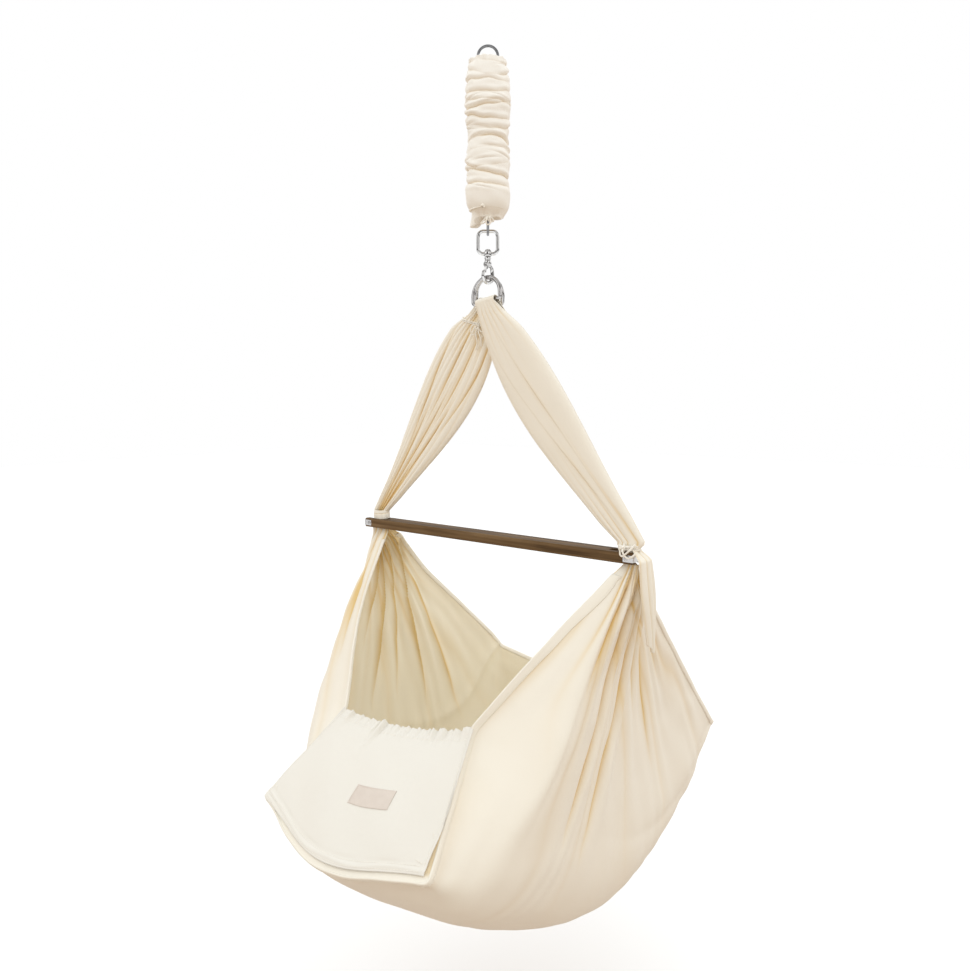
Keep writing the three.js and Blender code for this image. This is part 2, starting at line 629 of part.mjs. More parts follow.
// A point of the sling: s runs from the foot edge to the head edge, t from the bar end to the middle.
function slingPoint(side, s, t) {
  const { sign, panel, foot, head } = side;
  const [pa, fa, ha] = [polar(panel), polar(foot), polar(head)];
  const keelAngle = lerp(KEEL_FOOT, KEEL_HEAD, s);
  const angle = lerp(lerp(fa.angle, ha.angle, s), keelAngle, blend(BREAK_FLOOR - 0.1, 1, t));
  const keel = keelAt(keelAngle);
  const pull = 1 - blend(0, 0.15, s);
  const front = 1 - blend(0, 0.3, s);
  const back = blend(0.75, 1, s);
  const free = (1 - front) * (1 - back);
  const sideX = lerp(lerp(268, (APEX_X + Math.abs(head[0])) / 2, back), Math.abs(panel[0]), pull);
  const sideReach = lerp(350, pa.reach, pull);
  const floorX = free * lerp(238, 296, blend(0.2, 0.75, s))
    + front * (1 - back) * Math.abs(foot[0]) + back * Math.abs(head[0]);
  const floorReach = free * (keel - 32) + front * (1 - back) * fa.reach + back * ha.reach;
  const round = 0.15 * free + 0.015;
  const t1 = BREAK_SIDE;
  const t2 = BREAK_FLOOR;
  const x0 = (sideX - APEX_X) / t1;
  const x1 = (floorX - sideX) / (t2 - t1);
  const x2 = -floorX / (1 - t2);
  const x = APEX_X + x0 * t + (x1 - x0) * bend(t - t1, round) + (x2 - x1) * bend(t - t2, round);
  const r0 = (sideReach - NECK) / t1;
  const r1 = (floorReach - sideReach) / (t2 - t1);
  const sag = Math.sin(THREE.MathUtils.clamp((t - t2 + round) / (1 - t2 + round), 0, 1) * Math.PI / 2);
  const reach = NECK + r0 * t + (r1 - r0) * bend(t - t1, round) - r1 * bend(t - t2, round)
    + (keel - floorReach) * sag ** 1.5;
  const drift = (pa.angle - fa.angle) * pull * Math.max(0, 1 - Math.abs(t - t1) / t1);
  const a = (angle + drift) * Math.PI / 180;
  return vec(sign * x, reach * Math.sin(a), BAR_Z - reach * Math.cos(a));
}

const ROWS = 18;                 // steps from the foot edge to the head edge
const SEAM = 0.0012;             // half the gap between two neighbouring cloth solids, in t
for (const name of ['left', 'right']) {
  const side = SLING[name];
  const spread = (u, v) => slingPoint(side, side.sign > 0 ? u : 1 - u, lerp(0, BREAK_FLOOR - SEAM, v ** 1.3));
  const bunch = (u, v) => CLOTH + 17 * Math.exp(-v * 9);
  add(`sling_${name}_side`, sheet(spread, ROWS, 10, bunch), COTTON);
}

// The floor, from the left break line to the right one.
function floorPoint(u, v) {
  const across = 2 * v - 1;
  const t = 1 - (1 - BREAK_FLOOR - SEAM) * Math.abs(across);
  return slingPoint(across < 0 ? SLING.left : SLING.right, u, t);
}
const halfFloor = (from, to) => (u, v) => floorPoint(lerp(from, to, u), v);
add('sling_floor_foot', sheet(halfFloor(0, 0.5 - SEAM / 2), ROWS / 2, 14, () => CLOTH), COTTON);
add('sling_floor_head', sheet(halfFloor(0.5 + SEAM / 2, 1), ROWS / 2, 14, () => CLOTH), COTTON);

// Foot panel between the two front edges of the sling, its top edge drawn in by elastic.
const PANEL_INSET = 7;           // clear of the sling's own cloth
const PANEL_SAG = 17;
const PANEL_BULGE = 16;
function panelPoint(u, v) {
  const across = 2 * v - 1;
  const side = across < 0 ? SLING.left : SLING.right;
  const reach = Math.abs(across);
  const low = slingPoint(side, 0, 1 - (1 - BREAK_FLOOR) * reach);
  const leftTop = slingPoint(SLING.left, 0, BREAK_SIDE);
  const rightTop = slingPoint(SLING.right, 0, BREAK_SIDE);
  const top = leftTop.lerp(rightTop, v);
  top.z -= PANEL_SAG * (1 - across * across);
  const point = top.lerp(low, u);
  const swell = PANEL_BULGE * Math.sin(Math.PI * u) * (1 - reach ** 3);
  point.add(vec(0, -0.7 * swell, 0.7 * swell));
  return point;
}
const EDGE_BELOW = PANEL_INSET / 180;    // the inset as a share of the panel's height and width
const EDGE_BESIDE = PANEL_INSET / 260;
const panelAt = (u, v) => panelPoint(lerp(0, 1 - EDGE_BELOW, u), lerp(EDGE_BESIDE, 1 - EDGE_BESIDE, v));
add('foot_panel', sheet(panelAt, 9, 14, () => CLOTH), COTTON);

// A sheet lying on another at the given height along its normal, over part of its length and width.
function laidOn(pointAt, u0, u1, v0, v1, height) {
  return (u, v) => {
    const a = lerp(u0, u1, u);
    const b = lerp(v0, v1, v);
    const along = pointAt(a + 0.01, b).sub(pointAt(a - 0.01, b));
    const across = pointAt(a, b + 0.01).sub(pointAt(a, b - 0.01));
    return pointAt(a, b).addScaledVector(along.cross(across).normalize(), height);
  };
}
const onInside = -(CLOTH / 2 + 1.4);
const onOutside = CLOTH / 2 + 1.1;
const panelFace = Math.sign(sheetFacing(panelAt));
const elastic = laidOn(panelAt, 0.03, 0.08, 0.04, 0.96, onInside * panelFace);
add('foot_panel_elastic', sheet(elastic, 1, 14, () => 1.4), CORD);
const patch = laidOn(panelAt, 0.42, 0.62, 0.37, 0.60, onOutside * panelFace);
add('label_patch', sheet(patch, 3, 4, () => 0.8), PATCH);

// Which way a sheet's normal points, out of the sling (+) or into it (-), at its middle.
function sheetFacing(pointAt) {
  const along = pointAt(0.51, 0.5).sub(pointAt(0.49, 0.5));
  const across = pointAt(0.5, 0.51).sub(pointAt(0.5, 0.49));
  return -along.cross(across).y;
}

// Firm mattress lying on the sling's floor.
const PAD = 30;
const PAD_LIFT = PAD / 2 + CLOTH / 2 + 4;
function padMiddle(u, v) {
  const s = lerp(0.13, 0.86, u);
  const across = lerp(-0.58, 0.58, v);
  const point = floorPoint(s, (across + 1) / 2);
  const inward = vec(0, -point.y, BAR_Z - point.z).normalize();
  return point.addScaledVector(inward, PAD_LIFT + 6 * across * across);
}
add('mattress', sheet(padMiddle, 12, 6, () => PAD), FOAM);

// A loose fold of cloth that hangs outside the right neck.
function tailPoint(u, v) {
  const x = APEX_X + 25 + 14 * Math.sin(u * 1.6);
  return vec(x + 3 * v, lerp(-17, 13, v) * (1 - 0.25 * u), BAR_Z + lerp(14, -128, u));
}
add('right_fabric_tail', sheet(tailPoint, 6, 3, () => 4), COTTON);

export default model;
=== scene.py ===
import math

import bmesh
import bpy
import numpy as np
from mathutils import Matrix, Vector


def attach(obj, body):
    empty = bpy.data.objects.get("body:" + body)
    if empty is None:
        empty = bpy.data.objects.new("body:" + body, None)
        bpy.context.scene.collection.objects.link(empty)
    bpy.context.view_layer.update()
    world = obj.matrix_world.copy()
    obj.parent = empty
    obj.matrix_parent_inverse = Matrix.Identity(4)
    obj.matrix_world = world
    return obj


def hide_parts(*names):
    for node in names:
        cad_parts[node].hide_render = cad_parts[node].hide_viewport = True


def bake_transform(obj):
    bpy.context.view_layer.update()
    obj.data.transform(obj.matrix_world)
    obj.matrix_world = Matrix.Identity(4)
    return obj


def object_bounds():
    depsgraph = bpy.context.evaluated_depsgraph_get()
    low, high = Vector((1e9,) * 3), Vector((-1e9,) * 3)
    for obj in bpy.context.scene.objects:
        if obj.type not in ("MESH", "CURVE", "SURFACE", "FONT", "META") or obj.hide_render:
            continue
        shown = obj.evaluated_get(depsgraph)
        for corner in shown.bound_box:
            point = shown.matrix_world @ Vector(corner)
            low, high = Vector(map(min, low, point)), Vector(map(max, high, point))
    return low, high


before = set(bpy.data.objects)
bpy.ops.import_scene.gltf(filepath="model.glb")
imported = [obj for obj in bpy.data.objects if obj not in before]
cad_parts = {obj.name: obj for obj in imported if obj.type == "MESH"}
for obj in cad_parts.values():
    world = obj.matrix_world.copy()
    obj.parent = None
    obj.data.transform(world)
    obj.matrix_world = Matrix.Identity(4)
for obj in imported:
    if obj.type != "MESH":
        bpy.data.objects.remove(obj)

cad_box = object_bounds()
noise = np.random.default_rng(7)

# Metres, in the frame of the CAD model: +Z up, +X along the spreader bar, -Y towards the foot end.
MM = 0.001
FLOOR_Z = cad_box[0].z - 0.30
BAR_Z = -0.841
BAR_TALL = 0.0175


def vec(*values):
    return np.array(values, float)


def lerp(a, b, t):
    return a + (b - a) * t


def smooth(a, b, x):
    k = np.clip((x - a) / (b - a), 0, 1)
    return k * k * (3 - 2 * k)


def unit(v):
    return v / np.maximum(np.linalg.norm(v, axis=-1, keepdims=True), 1e-12)


def color_ramp(tree, value, stops):
    """The output of a ramp node through (place, color) stops."""
    node = tree.nodes.new("ShaderNodeValToRGB")
    tree.links.new(value, node.inputs["Fac"])
    band = node.color_ramp
    while len(band.elements) < len(stops):
        band.elements.new(0.5)
    for element, (place, color) in zip(band.elements, stops):
        element.position = place
        element.color = (*color, 1)
    return node.outputs["Color"]


# ---------- camera, light and floor ----------
CAMERA_AT = (0.8804, -1.1269, -0.584)
CAMERA_TURN = (math.radians(83.5), 0, math.radians(38.2))
CAMERA_LENS = 29.66
FLOOR_HALF = 14
# The room as the object's surfaces see it, from straight down to straight up.
ROOM_LIGHT = [(0.0, (0.48, 0.34, 0.23)), (0.36, (0.66, 0.52, 0.39)), (0.56, (1.12, 1.11, 1.09)),
              (1.0, (1.28, 1.31, 1.33))]
ROOM_IN_METAL = [(0.0, (0.45, 0.40, 0.36)), (0.30, (0.85, 0.82, 0.78)), (0.44, (0.10, 0.09, 0.08)),
                 (0.52, (0.06, 0.05, 0.05)), (0.60, (1.1, 1.1, 1.1)), (0.74, (1.2, 1.2, 1.2)),
                 (0.82, (0.12, 0.11, 0.10)), (1.0, (0.9, 0.9, 0.9))]
# Dark cards that only the metal reflects: where each one stands, and its half sizes.
CARDS = {
    "card_left": ((-1.5, -0.4, -0.25), (0.5, 1.3)),
    "card_front": ((0.75, -2.1, 0.35), (0.9, 0.5)),
    "card_right": ((1.7, 0.5, -0.35), (0.35, 1.2)),
}


def studio():
    camera = bpy.data.objects.new("camera", bpy.data.cameras.new("camera"))
    camera.location = CAMERA_AT
    camera.rotation_euler = CAMERA_TURN
    camera.data.lens = CAMERA_LENS
    camera.data.sensor_width = 36
    camera.data.clip_end = 60
    bpy.context.scene.collection.objects.link(camera)
    bpy.context.scene.camera = camera

    studio_light()
    bpy.context.scene.view_settings.view_transform = "Standard"
    floor = rectangle("floor", FLOOR_HALF, FLOOR_HALF, FLOOR_Z,
                      Look("pale_floor", color=(0.93, 0.93, 0.93), rough=0.9))
    floor.visible_diffuse = False
    for name, (place, size) in CARDS.items():
        card(name, place, size)
    light("key", (-0.9, -2.3, 0.9), 1.6, 1.5)
    light("rim", (2.4, 1.6, 0.4), 1.4, 2)


def studio_light():
    """A white room for the camera; the object's light is soft from above, fainter and warm from below."""
    world = bpy.data.worlds.new("studio")
    bpy.context.scene.world = world
    world.use_nodes = True
    tree = world.node_tree
    lit, white = tree.nodes["Background"], tree.nodes.new("ShaderNodeBackground")
    white.inputs["Color"].default_value = (1, 1, 1, 1)
    place = tree.nodes.new("ShaderNodeTexCoord")
    split = tree.nodes.new("ShaderNodeSeparateXYZ")
    tree.links.new(place.outputs["Generated"], split.inputs[0])
    scaled = tree.nodes.new("ShaderNodeMapRange")
    scaled.inputs["From Min"].default_value = -1
    tree.links.new(split.outputs["Z"], scaled.inputs["Value"])
    up = scaled.outputs[0]
    tree.links.new(color_ramp(tree, up, ROOM_LIGHT), lit.inputs["Color"])
    mirrored = tree.nodes.new("ShaderNodeBackground")
    tree.links.new(color_ramp(tree, up, ROOM_IN_METAL), mirrored.inputs["Color"])
    seen = tree.nodes.new("ShaderNodeLightPath")

    def chosen(ray, others, these):
        both = tree.nodes.new("ShaderNodeMixShader")
        tree.links.new(seen.outputs[ray], both.inputs["Fac"])
        tree.links.new(others, both.inputs[1])
        tree.links.new(these, both.inputs[2])
        return both.outputs[0]

    for_metal = chosen("Is Glossy Ray", lit.outputs[0], mirrored.outputs[0])
    whole = chosen("Is Camera Ray", for_metal, white.outputs[0])
    tree.links.new(whole, tree.nodes["World Output"].inputs["Surface"])


def rectangle(name, wide, tall, z, look):
    mesh = bpy.data.meshes.new(name)
    corners = [(-wide, -tall, z), (wide, -tall, z), (wide, tall, z), (-wide, tall, z)]
    mesh.from_pydata(corners, [], [(0, 1, 2, 3)])
    mesh.materials.append(look.material)
    piece = bpy.data.objects.new(name, mesh)
    bpy.context.scene.collection.objects.link(piece)
    return piece


def card(name, place, size):
    piece = rectangle(name, *size, 0, Look(name, color=(0.03, 0.025, 0.02), rough=1.0))
    piece.location = place
    piece.rotation_euler = aim_euler(vec(0, 0, -0.4) - place)
    piece.visible_camera = piece.visible_diffuse = piece.visible_shadow = False


def light(name, place, size, watts):
    lamp = bpy.data.lights.new(name, "AREA")
    lamp.size = size
    lamp.energy = watts
    lamp.color = (1.0, 0.98, 0.95)
    holder = bpy.data.objects.new(name, lamp)
    holder.location = place
    holder.rotation_euler = aim_euler(vec(0, 0, BAR_Z - 0.2) - place)
    bpy.context.scene.collection.objects.link(holder)


def aim_euler(direction):
    return Vector(direction).to_track_quat("-Z", "Y").to_euler()


# ---------- materials ----------
class Look:
    """A Principled material, with short calls that add nodes to it."""

    def __init__(self, name, color=(0.8, 0.8, 0.8), rough=0.5, metal=0.0, sheen=0.0):
        self.material = bpy.data.materials.new(name)
        self.material.use_nodes = True
        self.tree = self.material.node_tree
        self.shader = self.tree.nodes["Principled BSDF"]
        self.set("Base Color", (*color, 1))
        self.set("Roughness", rough)
        self.set("Metallic", metal)
        self.set("Sheen Weight", sheen)

    def set(self, socket, value):
        if isinstance(value, bpy.types.NodeSocket):
            self.tree.links.new(value, self.shader.inputs[socket])
        else:
            self.shader.inputs[socket].default_value = value

    def node(self, kind, out=0, settings=None, **inputs):
        node = self.tree.nodes.new("ShaderNode" + kind)
        for key, value in (settings or {}).items():
            setattr(node, key, value)
        for key, value in inputs.items():
            name = int(key[1:]) if key[0] == "i" and key[1:].isdigit() else key.replace("_", " ")
            socket = node.inputs[name]
            if isinstance(value, bpy.types.NodeSocket):
                self.tree.links.new(value, socket)
            else:
                socket.default_value = value
        return node.outputs[out]

    def coordinates(self, kind="Object", scale=(1, 1, 1)):
        return self.node("Mapping", Vector=self.node("TexCoord", kind), Scale=scale)

    def math(self, operation, a, b=0.0):
        return self.node("Math", settings={"operation": operation}, i0=a, i1=b)

    def mix(self, share, a, b):
        colors = [x if isinstance(x, bpy.types.NodeSocket) else (*x, 1) for x in (a, b)]
        return self.node("Mix", 2, {"data_type": "RGBA"}, i0=share, i6=colors[0], i7=colors[1])

    def noise(self, at, scale, detail=4.0, rough=0.55):
        return self.node("TexNoise", 0, None, Vector=at, Scale=scale, Detail=detail, Roughness=rough)

    def bump(self, height, strength, distance, under=None):
        inputs = {"Height": height, "Strength": strength, "Distance": distance}
        if under is not None:
            inputs["Normal"] = under
        self.set("Normal", self.node("Bump", 0, None, **inputs))
        return self.shader.inputs["Normal"].links[0].from_socket


CREAM = (0.885, 0.845, 0.750)
CREAM_SHADE = (0.86, 0.80, 0.68)
# Painted shade: warmer, darker colours for the sling's inside face, standing in for shade and light through
# the cloth.
WARM = (0.865, 0.80, 0.64)
WARM_SHADE = (0.83, 0.745, 0.57)
# Painted shade: the ochre laid into folds and creases.
CREASE_SHADE_OCHRE = (0.74, 0.52, 0.20)
THREAD = 0.9 * MM


def cotton(name, base=CREAM, shade=CREAM_SHADE, creases=0.95):
    """Plain-weave cotton: threads, slubs and slight unevenness of colour, with painted shade in ochre down in
    the folds.
    """
    look = Look(name, base, 0.88, sheen=0.25)
    cloth, place = look.coordinates("UV"), look.coordinates()
    bands = 2 * math.pi / (20 * THREAD)
    warp = look.node("TexWave", 1, {"bands_direction": "X"}, Vector=cloth, Scale=bands)
    weft = look.node("TexWave", 1, {"bands_direction": "Y"}, Vector=cloth, Scale=bands)
    weave = look.math("MAXIMUM", warp, weft)
    slub = look.noise(look.node("Mapping", Vector=cloth, Scale=(60, 900, 1)), 1.0, 2.0)
    threads = look.math("ADD", weave, slub)
    crumple = look.noise(place, 34.0, 5.0, 0.6)
    stain = look.noise(place, 5.0, 3.0)
    color = look.mix(stain, shade, base)
    color = look.mix(look.math("MULTIPLY", slub, 0.12), color, shade)
    # Painted shade: the fold attribute mixes ochre in, darker and warmer deep in folds and creases.
    fold = look.node("Attribute", "Fac", {"attribute_name": "fold"})
    color = look.mix(look.math("MULTIPLY", fold, creases), color, CREASE_SHADE_OCHRE)
    look.set("Base Color", color)
    under = look.bump(threads, 0.22, 0.35 * MM)
    look.bump(crumple, 0.30, 2.2 * MM, under)
    return look.material


def walnut():
    """Oiled walnut: long grain streaks along the bar and fine pores."""
    look = Look("walnut", (0.2, 0.13, 0.07), 0.52)
    grain = look.noise(look.coordinates("Object", (2.2, 75, 110)), 1.0, 7.0, 0.62)
    figure = look.noise(look.coordinates("Object", (5.5, 30, 26)), 1.0, 3.0, 0.5)
    pores = look.noise(look.coordinates("Object", (26, 900, 900)), 1.0, 2.0)
    mixed = look.math("ADD", look.math("MULTIPLY", grain, 0.62), look.math("MULTIPLY", figure, 0.38))
    stops = [(0.38, (0.038, 0.018, 0.005)), (0.47, (0.085, 0.045, 0.015)),
             (0.54, (0.14, 0.08, 0.032)), (0.66, (0.22, 0.14, 0.068))]
    color = color_ramp(look.tree, mixed, stops)
    pore = color_ramp(look.tree, pores, [(0.58, (0, 0, 0)), (0.7, (0.5, 0.5, 0.5))])
    color = look.mix(pore, color, (0.07, 0.042, 0.022))
    look.set("Base Color", color)
    look.set("Roughness", look.math("ADD", look.math("MULTIPLY", grain, 0.25), 0.45))
    look.set("Specular IOR Level", 0.2)
    look.bump(look.math("SUBTRACT", grain, look.math("MULTIPLY", pores, 0.4)), 0.35, 0.5 * MM)
    return look.material


def metal(name, color, rough, brushed=0.0):
    """Plated or drawn metal: fine handling marks and a slightly uneven gloss."""
    look = Look(name, color, rough, metal=1.0)
    marks = look.noise(look.coordinates(), 260.0, 4.0, 0.65)
    cloud = look.noise(look.coordinates(), 45.0, 3.0)
    look.set("Roughness", look.math("ADD", look.math("MULTIPLY", cloud, 0.16), rough - 0.05))
    dark = tuple(c * 0.82 for c in color)
    look.set("Base Color", look.mix(look.math("MULTIPLY", cloud, 0.6), color, dark))
    look.bump(marks, 0.10 + brushed, 0.12 * MM)
    return look.material


def cord_look():
    """Twisted cotton cord: soft fibres over the strands that the mesh has."""
    look = Look("cord", (0.90, 0.87, 0.79), 0.9, sheen=0.3)
    fibres = look.noise(look.coordinates(), 900.0, 3.0, 0.7)
    tone = look.noise(look.coordinates(), 60.0, 2.0)
    look.set("Base Color", look.mix(tone, (0.84, 0.79, 0.68), (0.93, 0.90, 0.84)))
    look.bump(fibres, 0.4, 0.25 * MM)
    return look.material


def patch_look():
    """Blank woven patch: a tight ribbed weave in beige."""
    look = Look("label", (0.72, 0.64, 0.56), 0.75, sheen=0.15)
    cloth = look.coordinates("UV")
    ribs = look.node("TexWave", 1, {"bands_direction": "Y"}, Vector=cloth, Scale=520.0)
    warp = look.node("TexWave", 1, {"bands_direction": "X"}, Vector=cloth, Scale=340.0)
    tone = look.noise(look.coordinates(), 90.0, 3.0)
    look.set("Base Color", look.mix(tone, (0.66, 0.575, 0.50), (0.75, 0.67, 0.59)))
    look.bump(look.math("ADD", ribs, look.math("MULTIPLY", warp, 0.5)), 0.3, 0.3 * MM)
    return look.material


COTTON = cotton("cotton")
COTTON_INSIDE_PAINTED_SHADE = cotton("cotton_inside_painted_shade", WARM, WARM_SHADE, creases=0.9)    # painted shade and painted light through the cloth: the inside face, warmer and darker
SLEEVE_COTTON = cotton("sleeve_cotton", (0.955, 0.94, 0.885), (0.94, 0.915, 0.85), creases=0.5)
PANEL_COTTON = cotton("panel_cotton", (0.80, 0.775, 0.705), (0.785, 0.745, 0.665), creases=0.15)
MATTRESS_COTTON = cotton("mattress_cover", (0.86, 0.82, 0.73), (0.84, 0.79, 0.69), creases=0.1)
CORD = cord_look()
PATCH = patch_look()
WALNUT = walnut()
CHROME = metal("chrome", (0.80, 0.79, 0.78), 0.12)
RING_STEEL = metal("ring_steel", (0.62, 0.60, 0.59), 0.16)
SPRING_STEEL = metal("spring_steel", (0.30, 0.30, 0.31), 0.30)


# ---------- mesh helpers ----------
def grid_faces(rows, columns, wrap_rows=False, wrap_columns=False):
    i = np.arange(rows if wrap_rows else rows - 1)[:, None]
    j = np.arange(columns if wrap_columns else columns - 1)[None, :]
    down, right = (i + 1) % rows, (j + 1) % columns
    quads = np.stack(np.broadcast_arrays(i * columns + j, i * columns + right,
                                         down * columns + right, down * columns + j), -1)
    return quads.reshape(-1, 4).tolist()


def grid(down, over):
    """Two fields over one grid: the first changes down its rows, the second over its columns."""
    return np.broadcast_arrays(np.asarray(down)[:, None], np.asarray(over)[None, :])


def capped(rows, sides):
    """Faces of a tube of rings, with a flat one over each end."""
    last = (rows - 1) * sides
    return grid_faces(rows, sides, False, True) + [list(range(sides)), list(range(last, last + sides))]


def run_of(line):
    """The distance along a line at each of its points."""
    return np.concatenate([[0], np.cumsum(np.linalg.norm(np.diff(line, axis=0), axis=1))])


def sampled(line, run, at):
    """The points of a line at some distances along it."""
    return np.stack([np.interp(at, run, line[:, k]) for k in range(3)], 1)


def circle(sides):
    return np.linspace(0, 2 * math.pi, sides, endpoint=False)


def joined(*parts):
    """Several (points, faces) pairs as one."""
    points, faces, start = [], [], 0
    for more, quads in parts:
        points.append(np.asarray(more, float).reshape(-1, 3))
        faces += [[start + k for k in face] for face in quads]
        start += len(points[-1])
    return np.concatenate(points), faces


def make(name, part, look, body=None, uv=None, fold=None, closed=True):
    """A smooth-shaded piece from points and faces; fold is how deep in a fold each point lies, 0 to 1, and
    the cotton looks paint it as ochre crease shade.
    """
    points, faces = part
    points = np.asarray(points, float).reshape(-1, 3)
    mesh = bpy.data.meshes.new(name)
    mesh.from_pydata(points.tolist(), [], faces)
    if closed:
        shell = bmesh.new()
        shell.from_mesh(mesh)
        bmesh.ops.recalc_face_normals(shell, faces=shell.faces)
        shell.to_mesh(mesh)
        shell.free()
    mesh.polygons.foreach_set("use_smooth", [True] * len(mesh.polygons))
    if uv is None:
        uv = points[:, [0, 2]]
    corners = np.empty(len(mesh.loops), int)
    mesh.loops.foreach_get("vertex_index", corners)
    layer = mesh.uv_layers.new(name="UVMap")
    layer.data.foreach_set("uv", np.asarray(uv, float).reshape(-1, 2)[corners].ravel())
    if fold is not None:
        attribute = mesh.attributes.new("fold", "FLOAT", "POINT")
        attribute.data.foreach_set("value", np.asarray(fold, float).ravel())
    mesh.materials.append(look)
    piece = bpy.data.objects.new(name, mesh)
    bpy.context.scene.collection.objects.link(piece)
    if body:
        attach(piece, body)
    return piece


def cloth(name, points, thickness, look, slot, body=None, uv=None, fold=None, wrap=False, other=None):
    """An open sheet of the given thickness through a grid of points; its other face may look different."""
    faces = grid_faces(*points.shape[:2], False, wrap)
    piece = make(name, (points, faces), look, body, uv, fold, closed=False)
    solid = piece.modifiers.new("thickness", "SOLIDIFY")
    solid.thickness = thickness
    solid.offset = 0
    if other:
        piece.data.materials.append(other)
        solid.material_offset = 1
    return piece


def smoothed(piece, width):
    """Rounds the sharp edges of a hard piece."""
    bevel = piece.modifiers.new("arris", "BEVEL")
    bevel.width = width
    bevel.segments = 2
    bevel.limit_method = "ANGLE"
    bevel.angle_limit = math.radians(35)
    bevel.harden_normals = True


def along_of(line, closed=False):
    if closed:
        return unit(np.roll(line, -1, 0) - np.roll(line, 1, 0))
    return unit(np.gradient(line, axis=0))


def axes_of(line, closed=False):
    """Two directions across a line at each of its points, turning as little as they can."""
    along = along_of(line, closed)
    side = np.cross(along[0], (0.3, 0.5, 0.81))
    sides = []
    for direction in along:
        side = unit(side - direction * (side @ direction))
        sides.append(side)
    sides = np.array(sides)
    return sides, np.cross(along, sides)


def tube(line, radius, sides=16, closed=False):
    """A round wire along a line of points; the radius may change along it, and open ends are domed."""
    line = np.asarray(line, float)
    radius = np.broadcast_to(np.asarray(radius, float), (len(line),)).copy()
    if not closed:
        first, last = along_of(line)[[0, -1]]
        dome = np.radians([80, 60, 35])
        head = [line[0] - first * radius[0] * math.sin(a) for a in dome]
        tail = [line[-1] + last * radius[-1] * math.sin(a) for a in dome[::-1]]
        line = np.concatenate([head, line, tail])
        radius = np.concatenate([radius[0] * np.cos(dome), radius, radius[-1] * np.cos(dome[::-1])])
    one, two = axes_of(line, closed)
    angle = circle(sides)[:, None]
    ring = np.cos(angle) * one[:, None] + np.sin(angle) * two[:, None]
    points = line[:, None] + radius[:, None, None] * ring
    faces = grid_faces(len(line), sides, True, True) if closed else capped(len(line), sides)
    return points.reshape(-1, 3), faces


def twisted(line, radius, pitch, closed=False):
    """A laid cord: three strands turning round one another along a line."""
    line = np.asarray(line, float)
    run = run_of(line)
    whole = run[-1] + (np.linalg.norm(line[0] - line[-1]) if closed else 0)
    turns = max(1, round(whole / pitch))
    one, two = axes_of(line, closed)
    parts = []
    for k in range(3):
        angle = 2 * math.pi * (turns * run / whole + k / 3)
        away = np.cos(angle)[:, None] * one + np.sin(angle)[:, None] * two
        parts.append(tube(line + 0.5 * radius * away, 0.54 * radius, 8, closed))
    return joined(*parts)


def curve_through(points, steps, closed=False):
    """Evenly spaced points on a smooth curve through the given ones."""
    points = np.asarray(points, float)
    if closed:
        ring = np.concatenate([points[-1:], points, points[:2]])
    else:
        ring = np.concatenate([2 * points[:1] - points[1:2], points, 2 * points[-1:] - points[-2:-1]])
    fine = []
    for p0, p1, p2, p3 in zip(ring, ring[1:], ring[2:], ring[3:]):
        u = np.linspace(0, 1, 24, endpoint=False)[:, None]
        fine.append(0.5 * (2 * p1 + (p2 - p0) * u + (2 * p0 - 5 * p1 + 4 * p2 - p3) * u**2
                           + (3 * p1 - p0 - 3 * p2 + p3) * u**3))
    fine = np.concatenate([*fine, points[:1] if closed else points[-1:]])
    run = run_of(fine)
    return sampled(fine, run, np.linspace(0, run[-1], steps, endpoint=not closed))


def lathe(profile, sides=40, closed=False):
    """A body turned about Z from (radius, z) pairs; an open profile starts and ends on the axis."""
    radius, z = np.asarray(profile, float).T[:, :, None]
    angle = circle(sides)
    points = np.stack([radius * np.cos(angle), radius * np.sin(angle), z + 0 * angle], -1)
    faces = grid_faces(len(z), sides, True, True) if closed else capped(len(z), sides)
    return points.reshape(-1, 3), faces


def arc(middle, radius, first, last, steps):
    """Points (a, b) on a flat arc, angles in degrees."""
    angle = np.radians(np.linspace(first, last, steps))
    return np.stack([middle[0] + radius * np.cos(angle), middle[1] + radius * np.sin(angle)], 1)


def prism(outline, low, high):
    """A flat outline of (a, b) pairs, given depth along a third direction: points (depth, a, b)."""
    outline = np.asarray(outline, float)
    count = len(outline)
    points = [[d, a, b] for d in (low, high) for a, b in outline]
    faces = [list(range(count)), list(range(count, 2 * count))]
    faces += [[k, (k + 1) % count, count + (k + 1) % count, count + k] for k in range(count)]
    return np.array(points), faces


def profile(pairs, base=0.0):
    """(radius, height) pairs in mm over a base height, in metres."""
    return np.array(pairs, float) * MM + (0, base)


def standing(pairs):
    """(x, z) pairs as points of the XZ plane."""
    return np.insert(np.asarray(pairs, float), 1, 0, axis=1)


def turned(points, angle):
    """Points turned about Z."""
    c, s = math.cos(angle), math.sin(angle)
    points = np.asarray(points, float).reshape(-1, 3)
    return points @ np.array([[c, s, 0], [-s, c, 0], [0, 0, 1]])


# ---------- pieces kept from the CAD model, with their own finish ----------
def keep(look, slot, *names, bevel=0.0):
    for name in names:
        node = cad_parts[name]
        if not node.material_slots:
            node.data.materials.append(look)
        for place in node.material_slots:
            place.material = look
        if bevel:
            smoothed(node, bevel)


# ---------- spring, its cord and its sleeve ----------
CHAIN_TURN = math.radians(38)
SPRING_WIRE_R = 2.25 * MM
SPRING_R = 15.5 * MM
SPRING_TURNS = 16
COIL_TOP = -40 * MM
COIL_BOTTOM = -259 * MM
LOOP_R = 17 * MM
EYE_Z = SPRING_WIRE_R - LOOP_R
LOWER_LOOP_Z = -291.3 * MM
ALONG_X = vec(1, 0, 0)
ALONG_Y = vec(0, 1, 0)


def chain(points):
    """The spring and the bail hang turned about Z."""
    return turned(points, CHAIN_TURN)


def across(direction, radius, z):
    return direction * radius + vec(0, 0, z)


def stretching(piece):
    """Bakes the piece's transform into its mesh."""
    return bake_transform(piece)


